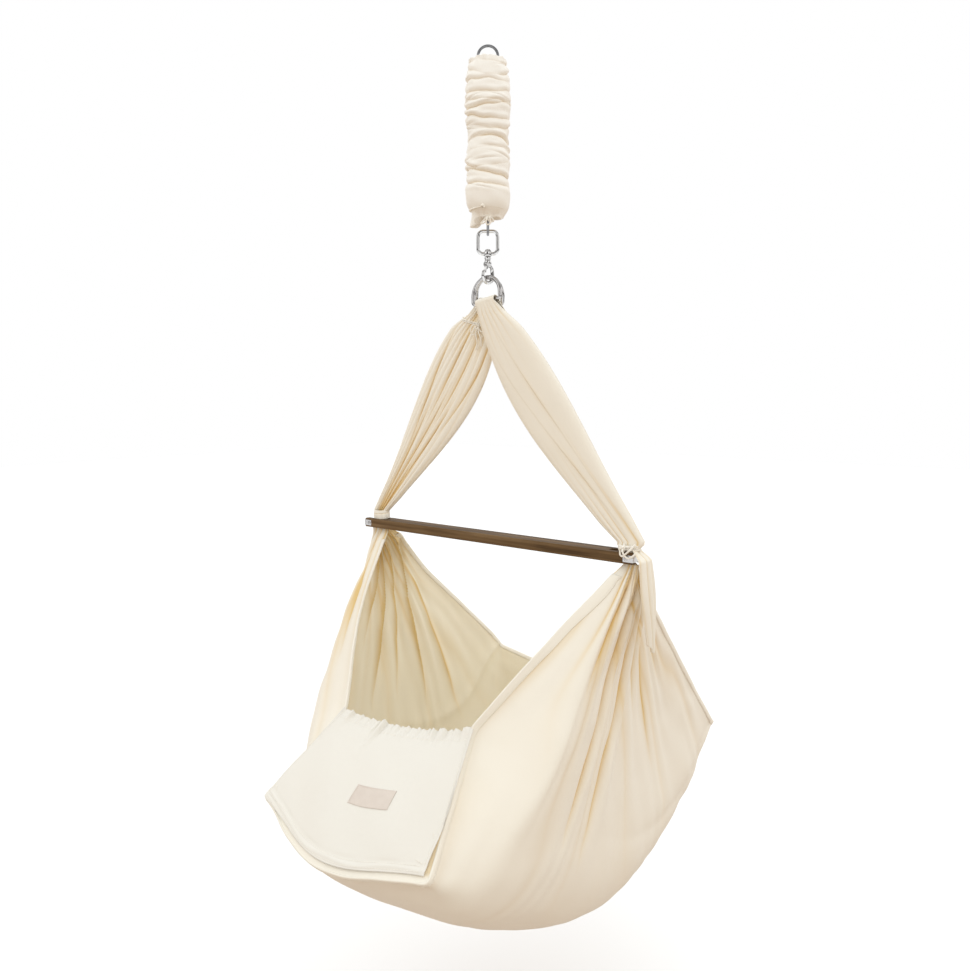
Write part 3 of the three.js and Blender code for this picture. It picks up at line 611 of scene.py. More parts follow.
def end_loop(middle, up, direction):
    edge = middle - up * (LOOP_R + 4.2 * MM)
    points = [across(direction, SPRING_R, edge - up * 1.5 * MM),
              across(direction, SPRING_R + 0.6 * MM, edge + up * 2.5 * MM)]
    for angle in np.radians(np.linspace(-54, 237.6, 23)):
        points.append(across(direction, LOOP_R * math.cos(angle), middle + up * LOOP_R * math.sin(angle)))
    return chain(curve_through(points, 150))


def helix(radius, turns, top, bottom, steps, start=0.0):
    run = np.linspace(0, 1, steps)
    angle = run * turns * 2 * math.pi + start
    return np.stack([radius * np.cos(angle), radius * np.sin(angle), lerp(top, bottom, run)], 1)


TIE_ANGLE = 1.25 * math.pi
TIE_DROP = -LOOP_R * math.sin(TIE_ANGLE)
CORD_R = 2 * MM
TIE_CLEAR = SPRING_WIRE_R + 3 * CORD_R + 0.6 * MM


def cord_tie(name, middle, up, direction, body):
    """Two turns of the safety cord round an end loop, and at the lower loop the knot's loose loops beside
    them.
    """
    along = unit(direction * -math.sin(TIE_ANGLE) + vec(0, 0, up * math.cos(TIE_ANGLE)))
    side = np.cross((direction[1], -direction[0], 0), along)
    other = np.cross(along, side)
    place = across(direction, LOOP_R * math.cos(TIE_ANGLE), middle + up * LOOP_R * math.sin(TIE_ANGLE))
    angle = np.linspace(0, 4 * math.pi, 80, endpoint=False)[:, None]
    radius = SPRING_WIRE_R + CORD_R + 0.1 * MM
    ring = place + radius * (np.cos(angle) * side + np.sin(angle) * other)
    ring = ring + 2.1 * MM * np.cos(angle / 2) * along
    parts = [twisted(chain(ring), CORD_R, 9 * MM, closed=True)]
    if up < 0:
        # The knot's loose loops show under the sleeve.
        for lean, drop, depth in ((-9, 15, -7), (7, 12, -8), (1, 17, -10)):
            loop = [(0, 0, 0), (lean * 0.3 - 3, -drop * 0.5, depth), (lean - 3, -drop, depth),
                    (lean + 3, -drop * 0.9, depth - 1), (lean * 0.3 + 3, -drop * 0.4, depth)]
            line = [place + vec(0, -4, 0) * MM + vec(a, c, b) * MM for a, b, c in loop]
            parts.append(twisted(chain(curve_through(line, 60, closed=True)), 1.3 * MM, 7 * MM, closed=True))
    piece = make(name, joined(*parts), CORD, body)
    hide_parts(name)


def ripples(a, b, waves, seed):
    """Smooth unevenness over (a, b) from a few cosines, between about -1 and 1; a is an angle and closes."""
    draw = np.random.default_rng(seed)
    total = 0
    for a_rate, b_rate in waves:
        phase = draw.uniform(0, 2 * math.pi)
        total = total + np.cos(a_rate * a + b_rate * b + phase) * draw.uniform(0.6, 1.0)
    return total / max(1, len(waves)) * 1.6


SLEEVE_ROWS = 320
SLEEVE_SIDES = 200
SLEEVE_TOP = -24 * MM
SLEEVE_LOW = -281 * MM
SLEEVE_EYE_R = 8.5      # mm, where the top is drawn in
SLEEVE_PUCKERS = 40
NECK_STRING_Z = -268 * MM
# Creases in mm: their height at the left, the front and the right of the sleeve, and their strength.
SLEEVE_CREASES = [
    (-27, -33, -31, 0.7), (-36, -55, -44, 1.0), (-57, -63, -59, 0.7), (-75, -83, -72, 0.6),
    (-91, -95, -97, 0.5), (-100, -104, -88, 1.0), (-112, -124, -119, 1.0), (-128, -141, -131, 0.6),
    (-158, -152, -160, 1.0), (-176, -171, -174, 0.35), (-192, -202, -184, 0.9),
    (-203, -211, -217, 1.0), (-224, -231, -231, 0.8)]
# Its radius in mm at heights in mm.
SLEEVE_GIRTH = [(-24, 30), (-32, 32.5), (-45, 35), (-62, 36.5), (-80, 37.5), (-96, 38), (-110, 36.5),
                (-125, 36.5), (-142, 34), (-160, 33.5), (-178, 37), (-195, 37.5), (-208, 35), (-222, 35),
                (-236, 38.5), (-250, 38), (-262, 36), (-270, 32), (-277, 24), (-281, 14)]


def around(angle, middle):
    """The angle from the middle of something, between -pi and pi."""
    return np.angle(np.exp(1j * (angle - middle)))


def sleeve_relief(angle, z, run):
    """The sleeve's radius in mm, and how deep in a crease each point lies; z is in mm."""
    heights, radii = np.array(SLEEVE_GIRTH[::-1], float).T
    radius = soften(np.interp(z + 2.5 * np.cos(angle - 0.4), heights, radii)[..., None], 60)[..., 0]
    fold = 0 * z
    draw = np.random.default_rng(5)
    waves = [(2, 0), (3, 0), (5, 0), (7, 0)]
    wander = [ripples(angle, 0, waves, 40 + k) for k in range(len(SLEEVE_CREASES))]
    for k, (left, front, right, strength) in enumerate(SLEEVE_CREASES):
        middle = (left + right) / 2
        line = middle + (right - left) / 2 * np.cos(angle) + (middle - front) * np.sin(angle)
        away = z - line - 1.6 * wander[k]
        reach = np.clip(0.62 + 0.5 * np.cos(angle + draw.uniform(0, 6.28)) + 0.25 * wander[k - 3], 0.12, 1)
        deep = strength * reach
        puffs = 2.4 * np.exp(-((away - 6.0) / 4.2) ** 2) + 1.3 * np.exp(-((away + 7) / 5) ** 2)
        radius = radius + deep * (puffs - 4.6 * np.exp(-np.abs(away) / 1.7))
        fold = fold + deep * np.exp(-np.abs(away) / 1.3)
    # Shorter puckers between the creases, on part of the way round.
    for _ in range(SLEEVE_PUCKERS):
        place, turn, lean = draw.uniform(-240, -30), draw.uniform(0, 2 * math.pi), draw.uniform(-9, 9)
        extent = np.exp(-(around(angle, turn) / draw.uniform(0.25, 0.7)) ** 2)
        away = z - place - lean * np.sin(angle - turn)
        radius = radius + extent * (0.8 * np.exp(-((away - 4) / 3) ** 2) - 1.7 * np.exp(-np.abs(away) / 1.3))
    radius = radius + 0.45 * ripples(angle, run * 30, [(3, 1), (5, -2), (4, 1.6), (7, 0.6)], 8)
    return radius, np.clip(fold, 0, 1)


def sleeve():
    """A cotton tube longer than the space it has, so it stands in tilted, puffy bands."""
    run = np.linspace(0, 1, SLEEVE_ROWS)[:, None]
    angle = circle(SLEEVE_SIDES)[None, :]
    z = lerp(SLEEVE_TOP, SLEEVE_LOW, run) / MM + 0 * angle
    radius, fold = sleeve_relief(angle, z, run)
    # Frilled top edge, and the ruffle under the neck that the drawstring draws in, longest at the left.
    top, skirt = 1 - smooth(0, 0.05, run), smooth(0.955, 1.0, run)
    frill = ripples(angle, 0, [(9, 0), (13, 0), (6, 0), (17, 0)], 9) * 0.8
    lobe = np.exp(-(around(angle, math.radians(186)) / 0.42) ** 2)
    ruffle = np.abs(np.cos(4.5 * angle + 0.8 * np.sin(3 * angle)))
    radius = radius + 1.1 * frill * top + skirt * (
        1.6 * frill + 2.6 * (ruffle - 0.5) + 11.0 * lobe + 4.0 * lobe * np.cos(19 * angle))
    drop = skirt * (15.5 * lobe + 3.0 * ripples(angle, 0, [(2, 0), (4, 0), (7, 0)], 12))
    height = z + 1.3 * frill * top - drop
    # The top is drawn together round the eye.
    out = np.linspace(1, 0, 26, endpoint=False)[:, None] ** 0.8
    lid_r = (radius[:1] - SLEEVE_EYE_R) * out * (1 + 0.07 * np.cos(12 * angle) * out[::-1]) + SLEEVE_EYE_R
    lid_z = height[:1] + (4.5 + 0.8 * np.cos(12 * angle)) * np.sin(math.pi * 0.62 * (1 - out))
    # Below, the cloth is gathered in round the loop.
    shut = np.linspace(0, 1, 16)[1:, None]
    base_r = lerp(radius[-1:], 4.0, shut**0.7) + 1.2 * np.cos(11 * angle) * np.sin(math.pi * shut)
    base_z = lerp(height[-1:], -279, smooth(0, 0.8, shut)) - 2.5 * np.sin(math.pi * shut)
    radius = np.concatenate([lid_r[::-1], radius, base_r], 0) * MM
    height = np.concatenate([lid_z[::-1], height, base_z], 0) * MM
    fold = np.concatenate([0 * lid_z, fold, 0.4 * shut + 0 * angle], 0)
    points = np.stack([radius * np.cos(angle), radius * np.sin(angle), height], -1)
    down = np.linspace(0, 0.84, len(points))[:, None] + 0 * angle
    girth = 0.26 * angle / (2 * math.pi) + 0 * down
    points = chain(points).reshape(points.shape)
    # Painted shade: fold gives ochre shade in the sleeve's creases and its gathered base.
    piece = cloth("spring_sleeve_cloth", points, 0.9 * MM, SLEEVE_COTTON, "cotton",
                  uv=np.stack([girth, down], -1), fold=fold, wrap=True)
    stretching(piece)
    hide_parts("spring_sleeve")


def drawstring():
    """The string in the sleeve's lower neck, and its knot at the front."""
    angle = circle(120)
    z = NECK_STRING_Z + 0.8 * MM * np.sin(3 * angle)
    ring = np.stack([31.6 * MM * np.cos(angle), 31.6 * MM * np.sin(angle), z], 1)
    front = math.radians(-105)
    out = vec(math.cos(front), math.sin(front), 0)
    side = vec(-out[1], out[0], 0)
    start = out * 33 * MM + vec(0, 0, NECK_STRING_Z)
    turns = [(-3, 0, 1), (0, 2.5, 3), (3, 1, 0), (0, 0, -3), (-3, 2, -1), (0, 4, 1), (2.5, 2, -2)]
    knot = [start + (side * a + out * b + vec(0, 0, c)) * MM for a, b, c in turns]
    parts = [twisted(chain(ring), 1.4 * MM, 7 * MM, closed=True),
             twisted(chain(curve_through(knot, 60)), 1.3 * MM, 7 * MM)]
    piece = make("sleeve_drawstring", joined(*parts), CORD)
    stretching(piece)
    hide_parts("sleeve_tie")


def spring():
    eye = make("spring_eye", tube(end_loop(EYE_Z, 1, ALONG_X), SPRING_WIRE_R, 18), SPRING_STEEL,
               "spring_top")
    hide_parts("spring_upper_eye")
    loop = make("spring_loop", tube(end_loop(LOWER_LOOP_Z, -1, ALONG_Y), SPRING_WIRE_R, 18), SPRING_STEEL,
                "spring_bottom")
    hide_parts("spring_lower_loop")
    turns = helix(SPRING_R, SPRING_TURNS, COIL_TOP, COIL_BOTTOM, SPRING_TURNS * 30)
    coil = make("spring_turns", tube(chain(turns), SPRING_WIRE_R, 12), SPRING_STEEL)
    stretching(coil)
    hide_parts("spring_coil")

    slack = helix(8.5 * MM, 5.25, -45 * MM, -254 * MM, 90, start=math.pi)
    above = vec(-TIE_DROP, 0, EYE_Z - TIE_DROP - TIE_CLEAR)
    below = vec(0, -TIE_DROP, LOWER_LOOP_Z + TIE_DROP + TIE_CLEAR)
    route = chain(curve_through([above, *slack[::3], below], 200))
    cord = make("safety_cord_rope", twisted(route, CORD_R, 10 * MM), CORD)
    stretching(cord)
    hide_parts("safety_cord")
    cord_tie("safety_cord_upper_tie", EYE_Z, 1, ALONG_X, "spring_top")
    cord_tie("safety_cord_lower_tie", LOWER_LOOP_Z, -1, ALONG_Y, "spring_bottom")


# ---------- swivel and snap hook ----------
BAIL_HALF = 17 * MM
BAIL_TOP = -302.75 * MM
BOSS_Z = -341 * MM
STEM_SEAT = -355.2 * MM
SHANK_TOP = -346.2 * MM
SHANK_LOW = -361 * MM
HOOK_R = 3.25 * MM
HOOK_BEND_R = 13.25 * MM
HOOK_BEND_Z = -377.1 * MM


def rounded_frame(half, top, bottom, corner):
    """A closed rounded rectangle of (x, z) pairs."""
    corners = [((half - corner, top - corner), 90, 0), ((half - corner, bottom + corner), 0, -90),
               ((-half + corner, bottom + corner), -90, -180), ((-half + corner, top - corner), 180, 90)]
    return np.concatenate([arc(middle, corner, first, last, 12) for middle, first, last in corners])


def even(line, steps):
    """A closed line of corners and arcs as evenly spaced points."""
    line = np.concatenate([line, line[:1]])
    run = run_of(line)
    return sampled(line, run, np.linspace(0, run[-1], steps, endpoint=False))


def swivel():
    outline = rounded_frame(BAIL_HALF, BAIL_TOP, BOSS_Z, 9 * MM)
    wire = tube(chain(even(standing(outline), 160)), 3 * MM, 20, closed=True)
    boss = profile([(3.3, -4.5), (5.6, -4.5), (6.6, -4), (7, -3),
                    (7, 3), (6.6, 4), (5.6, 4.5), (3.3, 4.5)], BOSS_Z)
    piece = make("swivel_bail_frame", joined(wire, lathe(boss, 48, closed=True)), CHROME, "bail")
    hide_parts("swivel_bail")

    head = profile([(3, 0), (4.8, 0), (5.2, 0.5), (5.1, 1.5), (4.2, 2.5), (2.4, 3)], BOSS_Z + 4.8 * MM)
    stem = np.concatenate([profile([(2.6, 0), (3, 0.4)], STEM_SEAT), head])
    piece = make("swivel_stem_rivet", lathe(stem, 40), CHROME, "snap_hook")
    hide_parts("swivel_stem")


def hook():
    """Cast hook: a collared shank, two cheeks round the gate's pin, and a bend that ends in a rounded tip."""
    points = [(0, 0, SHANK_LOW + 5 * MM), (0, 5.5 * MM, SHANK_LOW + 0.5 * MM), (0, 11.5 * MM, -366.5 * MM)]
    for angle in np.radians(np.linspace(0, 201.6, 15)):
        points.append((0, HOOK_BEND_R * math.cos(angle), HOOK_BEND_Z - HOOK_BEND_R * math.sin(angle)))
    thick = HOOK_R * (1 - 0.22 * smooth(0.86, 1, np.linspace(0, 1, 90)))
    shank = profile([(0.4, -8.7), (3.3, -8.5), (3.3, 0), (5.0, 0), (5.9, -0.8), (6.0, -3.4), (5.2, -4.4),
                     (5.2, -5.4), (6.0, -6.6), (6.0, -12.8), (5.0, -14.4), (3.0, -14.8)], SHANK_TOP)
    parts = [tube(curve_through(points, 90), thick, 20), lathe(shank, 40)]
    for way in (-1, 1):
        outline = np.concatenate([arc((-3.6 * MM, -359.2 * MM), 3.9 * MM, 100, 260, 14),
                                  [(2.6 * MM, -362.8 * MM), (3.0 * MM, -355.2 * MM)]])
        low, high = sorted((way * 2.6 * MM, way * 4.6 * MM))
        parts.append(prism(outline, low, high))
    piece = make("snap_hook_frame", joined(*parts), CHROME, "snap_hook")
    smoothed(piece, 0.5 * MM)
    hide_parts("hook_frame")
    points, faces = lathe(profile([(0.9, -5.2), (1.3, -4.9), (1.3, 4.9), (0.9, 5.2)]), 24)
    points = points[:, [2, 0, 1]] + vec(0, -3.5 * MM, -359 * MM)
    piece = make("gate_pivot_pin", (points, faces), CHROME, "snap_hook")
    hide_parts("gate_pin")
    keep(CHROME, "chrome", "hook_gate", bevel=0.35 * MM)
    keep(SPRING_STEEL, "spring_steel", "gate_spring", bevel=0.1 * MM)


# ---------- rings ----------
RING_WIRE_R = 3.5 * MM
RING_HALF = 29.5 * MM
RING_TOP = -381.5 * MM
RING_LOW = RING_TOP - 43 * MM
RING_SIDE = 4.2 * MM
RING_LEAN = math.radians(8)
RING_TILT = math.radians(9)
RING_PIVOT = HOOK_BEND_Z - math.sqrt(HOOK_BEND_R**2 - RING_SIDE**2)


def hang_on_hook(points, sign):
    """Leans a ring out from the hook's plane and tilts it towards its strap, about the hook's bend."""
    points = np.asarray(points, float) - vec(0, 0, RING_TOP)
    lean, tilt = -sign * RING_LEAN, -sign * RING_TILT
    x, y, z = points.T
    y, z = y * math.cos(lean) - z * math.sin(lean), y * math.sin(lean) + z * math.cos(lean)
    y, z = y - sign * RING_SIDE, z + RING_TOP - RING_PIVOT
    x, z = x * math.cos(tilt) + z * math.sin(tilt), -x * math.sin(tilt) + z * math.cos(tilt)
    return np.stack([x, y, z + RING_PIVOT], 1)


def rings():
    corner = 5 * MM
    middle = RING_TOP - RING_HALF
    outline = np.concatenate([
        arc((RING_HALF - corner, RING_LOW + corner), corner, -90, 0, 10),
        arc((0, middle), RING_HALF, 0, 180, 60),
        arc((-RING_HALF + corner, RING_LOW + corner), corner, 180, 270, 10)])
    for name, sign in (("right", 1), ("left", -1)):
        line = hang_on_hook(even(standing(outline), 200), sign)
        piece = make(f"{name}_d_ring", tube(line, RING_WIRE_R, 20, closed=True), RING_STEEL,
                     f"{name}_ring")
        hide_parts(f"d_ring_{name}")


# ---------- spreader bar ----------
SCREW_R = 3 * MM
SCREW_X = 289 * MM


def screw_head(side, way):
    """A pan-head screw with a cross recess, standing on one leg of an end clip."""
    circles, sides = 14, 64
    share, angle = grid(np.linspace(0.02, 1, circles), circle(sides))
    a, b = SCREW_R * share * np.cos(angle), SCREW_R * share * np.sin(angle)
    recess = (np.minimum(abs(a), abs(b)) < 0.42 * MM) & (np.maximum(abs(a), abs(b)) < 1.65 * MM)
    dome = np.where(recess, 0.45 * MM, 1.4 * MM * (1 - share**4) ** 0.5)
    face = 18.3 * MM
    head = np.stack([a, face + dome, b], -1).reshape(-1, 3)
    faces = grid_faces(circles, sides, False, True) + [list(range(sides))]
    shank, sides_of_shank = lathe(profile([(1.6, 10), (1.6, 18.5)]), 20)
    points, faces = joined((head, faces), (shank[:, [0, 2, 1]], sides_of_shank))
    return points * vec(1, way, 1) + vec(side * SCREW_X, 0, BAR_Z), faces


def bar():
    keep(WALNUT, "walnut", "spreader_bar")
    for name, side in (("left", -1), ("right", 1)):
        keep(RING_STEEL, "ring_steel", f"{name}_end_clip", bevel=0.35 * MM)
        for place, way in (("front", -1), ("back", 1)):
            piece = make(f"{name}_screw_{place}", screw_head(side, way), RING_STEEL, "hammock")
            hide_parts(f"{name}_clip_screw_{place}")


# ---------- sling ----------
APEX_X = 0.283
NECK = 0.011
TURN_SIDE = 0.42        # where a line of the cloth passes the panel's top corner
TURN_FLOOR = 0.72       # and where it turns under the floor
# Half width and reach of the middle rows: at the side, and at the floor's foot and head ends.
SIDE_HALF, SIDE_REACH = 0.268, 0.350
FLOOR_HALF_FOOT, FLOOR_HALF_HEAD = 0.238, 0.296
FLOOR_RISE = 0.032      # of the floor's edges over the middle line
# Corners from the bar's middle: the panel's top, the foot edge's end and the head edge's end.
SLING = {
    "left": (-1, (-0.125, -0.238, -0.281), (-0.180, -0.376, -0.392), (-0.290, 0.428, -0.359)),
    "right": (1, (0.127, -0.207, -0.260), (0.182, -0.374, -0.406), (0.288, 0.372, -0.404)),
}
# The sling's middle line: angle in degrees from straight down, and distance from the bar.
KEEL = [(-46, 0.596), (-25, 0.620), (9, 0.692), (30, 0.664), (47, 0.572)]
SHIFT = {"left": (-0.011, -0.023), "right": (0.007, -0.008)}    # of the neck, and of its two rims
FAN = {"left": 0.025, "right": 0.014}      # how far the middle rows stand out beside the neck
SLING_ROWS = 360
SLING_STEPS = 120


def polar(corner):
    """A corner's angle in degrees from straight down, and its distance from the bar."""
    return math.degrees(math.atan2(corner[1], -corner[2])), math.hypot(corner[1], corner[2])


def keel_table():
    """The sling's middle line, as angle and distance from the bar, smooth through the stations of KEEL."""
    nodes = np.array([(a, r * 1000) for a, r in KEEL], float)
    nodes = np.concatenate([2 * nodes[:1] - nodes[1:2], nodes, 2 * nodes[-1:] - nodes[-2:-1]])
    table = []
    for step in range(61):
        place = step / 60 * (len(KEEL) - 1)
        k = min(int(place), len(KEEL) - 2)
        u = place - k
        p0, p1, p2, p3 = nodes[k:k + 4]
        d0, d1, d2 = (max(np.linalg.norm(b - a) ** 0.5, 1e-4) for a, b in ((p0, p1), (p1, p2), (p2, p3)))
        m1 = ((p1 - p0) / d0 - (p2 - p0) / (d0 + d1) + (p2 - p1) / d1) * d1
        m2 = ((p2 - p1) / d1 - (p3 - p1) / (d1 + d2) + (p3 - p2) / d2) * d1
        table.append(p1 + m1 * u + (3 * (p2 - p1) - 2 * m1 - m2) * u**2 + (2 * (p1 - p2) + m1 + m2) * u**3)
    return np.array(table) * (1, 0.001)


KEEL_TABLE = keel_table()
KEEL_FOOT, KEEL_HEAD = ((polar(SLING["left"][k])[0] + polar(SLING["right"][k])[0]) / 2 for k in (2, 3))


def turning(x, r):
    """Rises from 0 to x once x passes 0, rounded over plus or minus r."""
    return np.where(x < -r, 0, np.where(x > r, x, (x + r) ** 2 / (4 * r)))


def sling_point(side, s, t):
    """s runs from the foot edge to the head edge, t from the bar's end to the middle of the sling."""
    sign, panel, foot, head = SLING[side]
    (pa, pr), (fa, fr), (ha, hr) = polar(panel), polar(foot), polar(head)
    keel_angle = lerp(KEEL_FOOT, KEEL_HEAD, s)
    angle = lerp(lerp(fa, ha, s), keel_angle, smooth(TURN_FLOOR - 0.1, 1, t))
    keel = np.interp(keel_angle, KEEL_TABLE[:, 0], KEEL_TABLE[:, 1])
    pull = 1 - smooth(0, 0.15, s)
    front = 1 - smooth(0, 0.3, s)
    back = smooth(0.75, 1, s)
    free = (1 - front) * (1 - back)
    side_x = lerp(lerp(SIDE_HALF, (APEX_X + abs(head[0])) / 2, back), abs(panel[0]), pull)
    side_reach = lerp(SIDE_REACH, pr, pull)
    floor_x = (free * lerp(FLOOR_HALF_FOOT, FLOOR_HALF_HEAD, smooth(0.2, 0.75, s))
               + front * (1 - back) * abs(foot[0]) + back * abs(head[0]))
    floor_reach = free * (keel - FLOOR_RISE) + front * (1 - back) * fr + back * hr
    rounding = 0.15 * free + 0.015
    x0 = (side_x - APEX_X) / TURN_SIDE
    x1 = (floor_x - side_x) / (TURN_FLOOR - TURN_SIDE)
    x2 = -floor_x / (1 - TURN_FLOOR)
    at_side, at_floor = turning(t - TURN_SIDE, rounding), turning(t - TURN_FLOOR, rounding)
    x = APEX_X + x0 * t + (x1 - x0) * at_side + (x2 - x1) * at_floor
    r0 = (side_reach - NECK) / TURN_SIDE
    r1 = (floor_reach - side_reach) / (TURN_FLOOR - TURN_SIDE)
    under = np.clip((t - TURN_FLOOR + rounding) / (1 - TURN_FLOOR + rounding), 0, 1)
    reach = (NECK + r0 * t + (r1 - r0) * at_side - r1 * at_floor
             + (keel - floor_reach) * np.sin(under * math.pi / 2) ** 1.5)
    drift = (pa - fa) * pull * np.maximum(0, 1 - abs(t - TURN_SIDE) / TURN_SIDE)
    a = np.radians(angle + drift)
    return np.stack([sign * x, reach * np.sin(a), BAR_Z - reach * np.cos(a)], -1)


def floor_point(s, cross):
    """A point under the floor; cross runs from -1 at its left edge to 1 at its right one."""
    t = 1 - (1 - TURN_FLOOR) * np.abs(cross)
    return np.where((cross < 0)[..., None], sling_point("left", s, t), sling_point("right", s, t))


# Deep folds that run down from each neck: (t, s) stations from the neck on, depth in mm, half width in mm.
FOLDS = {
    "right": [
        ([(0.03, 0.52), (0.1, 0.40), (0.2, 0.36), (0.4, 0.31), (0.52, 0.29)], 13, 7),
        ([(0.05, 0.80), (0.135, 0.74), (0.19, 0.645), (0.3, 0.62)], 9, 6),
        ([(0.02, 0.68), (0.06, 0.64), (0.12, 0.60), (0.23, 0.52), (0.4, 0.42), (0.55, 0.37)], 10, 8),
        ([(0.2, 0.72), (0.31, 0.71), (0.45, 0.70)], 5, 9),
        ([(0.04, 0.25), (0.12, 0.20), (0.24, 0.17)], 8, 6),
        ([(0.05, 0.90), (0.15, 0.86), (0.30, 0.84)], 6, 7),
    ],
    "left": [
        ([(0.04, 0.47), (0.11, 0.435), (0.2, 0.35), (0.27, 0.33)], 12, 6),
        ([(0.04, 0.60), (0.15, 0.51), (0.26, 0.43), (0.42, 0.40)], 12, 7),
        ([(0.05, 0.92), (0.08, 0.855), (0.215, 0.70), (0.35, 0.67), (0.5, 0.65)], 11, 7),
        ([(0.2, 0.84), (0.33, 0.79), (0.53, 0.77), (0.6, 0.76)], 5, 9),
        ([(0.04, 0.30), (0.12, 0.24), (0.25, 0.2), (0.36, 0.19)], 9, 7),
        ([(0.05, 0.16), (0.15, 0.10), (0.30, 0.09)], 7, 6),
        ([(0.06, 0.74), (0.18, 0.60), (0.3, 0.55), (0.42, 0.53)], 8, 7),
    ],
}


# Fine pleats at the necks: how many in the width, height in mm, how far they last and where they start.
NECK_PLEATS = [(15, 3.6, 0.11, 0.02), (9, 5.0, 0.17, 0.05), (5.5, 4.5, 0.34, 0.12)]


def sling_folds(side, s, t, width, seed):
    """Height of the cloth over its smooth shape, and how deep in a fold it lies, from pleats and folds."""
    draw = np.random.default_rng(seed)
    wave = sum(draw.uniform(0.5, 1) * np.cos(2 * math.pi * (k * s + draw.uniform(0, 1)) + 3.1 * t * k)
               for k in (1, 2, 3, 5)) * 0.16
    height, deep = 0 * s, 0 * s
    # The whole width is pleated together at the neck; few pleats last as the lines spread.
    for count, size, fade, start in NECK_PLEATS:
        ridge = np.abs(np.cos(math.pi * count * (s + 0.10 * wave) + draw.uniform(0, 3)))
        lasting = np.exp(-((t / fade) ** 1.3))
        uneven = 0.65 + 0.6 * np.cos(2 * math.pi * (1.7 * s + draw.uniform(0, 1)))
        height = height + size * MM * smooth(0, start, t) * lasting * (ridge - 0.6) * uneven
        deep = deep + (1 - ridge) ** 3 * lasting
    for stations, depth, half in FOLDS[side]:
        ts, ss = zip(*stations)
        middle = np.interp(t, ts, ss)
        away = (s - middle) * width
        fade = smooth(ts[0] - 0.05, ts[0] + 0.02, t) * (1 - smooth(ts[-1] - 0.14, ts[-1] + 0.06, t))
        wide = half * MM * (0.35 + 1.3 * t / ts[-1])
        sharp = np.exp(-np.abs(away) / (0.55 * wide))
        lip = np.exp(-((away - 1.9 * wide) / (1.2 * wide)) ** 2)
        height = height + fade * depth * MM * (0.5 * lip - 0.85 * sharp)
        deep = deep + 1.3 * fade * np.exp(-np.abs(away) / (0.38 * wide))
    # Long shallow undulation of the stretched cloth, and faint tension lines that fan from the neck.
    slow = smooth(0.12, 0.4, t) * np.exp(-t) * np.cos(2 * math.pi * (3.1 * s + 0.4 * t) + 1)
    fine = smooth(0.1, 0.3, t) * (1 - smooth(0.5, 0.95, t)) * np.cos(2 * math.pi * (17 * s + 1.3 * wave))
    return height + 2.2 * MM * slow + 0.8 * MM * fine, np.clip(deep, 0, 1)


def rim_crease(s, t, slope, depth):
    """A soft crease that runs from a corner of the cloth at the head edge into the wall."""
    away = (t - 0.70 - slope * (1 - s)) / 0.018
    return -depth * MM * np.exp(-np.abs(away)) * smooth(0.35, 0.85, s) * (1 - smooth(0.985, 1, s) * 0.5)


def normals_of(points):
    down, over = np.gradient(points, axis=0), np.gradient(points, axis=1)
    return unit(np.cross(down, over))


def soften(field, rounds):
    for _ in range(rounds):
        padded = np.pad(field, ((1, 1), (1, 1), (0, 0)), "edge")
        field = (padded[:-2, 1:-1] + padded[2:, 1:-1] + padded[1:-1, :-2] + padded[1:-1, 2:]) / 4
    return field


def between(field, i, j, u, v):
    """A value between four neighbours of a grid, u and v of the way to the next row and column."""
    return ((1 - u) * (1 - v) * field[i, j] + u * (1 - v) * field[i + 1, j]
            + (1 - u) * v * field[i, j + 1] + u * v * field[i + 1, j + 1])


def at(field, row, column):
    """A grid's values at fractional rows and columns."""
    row = np.clip(row, 0, field.shape[0] - 1.0001)
    column = np.clip(column, 0, field.shape[1] - 1.0001)
    i, j = row.astype(int), column.astype(int)
    return between(field, i, j, (row - i)[..., None], (column - j)[..., None])


def spread(coarse, rows, columns):
    """A coarse grid of numbers stretched smoothly over a finer one."""
    a, b = np.linspace(0, coarse.shape[0] - 1, rows), np.linspace(0, coarse.shape[1] - 1, columns)
    i, j = np.minimum(a.astype(int), coarse.shape[0] - 2), np.minimum(b.astype(int), coarse.shape[1] - 2)
    return between(coarse, *np.ix_(i, j), *np.ix_(smooth(0, 1, a - i), smooth(0, 1, b - j)))


def both_halves(pair):
    """One grid from the halves of the sling, which share their last column."""
    return np.concatenate([pair[0], pair[1][:, -2::-1]], 1)


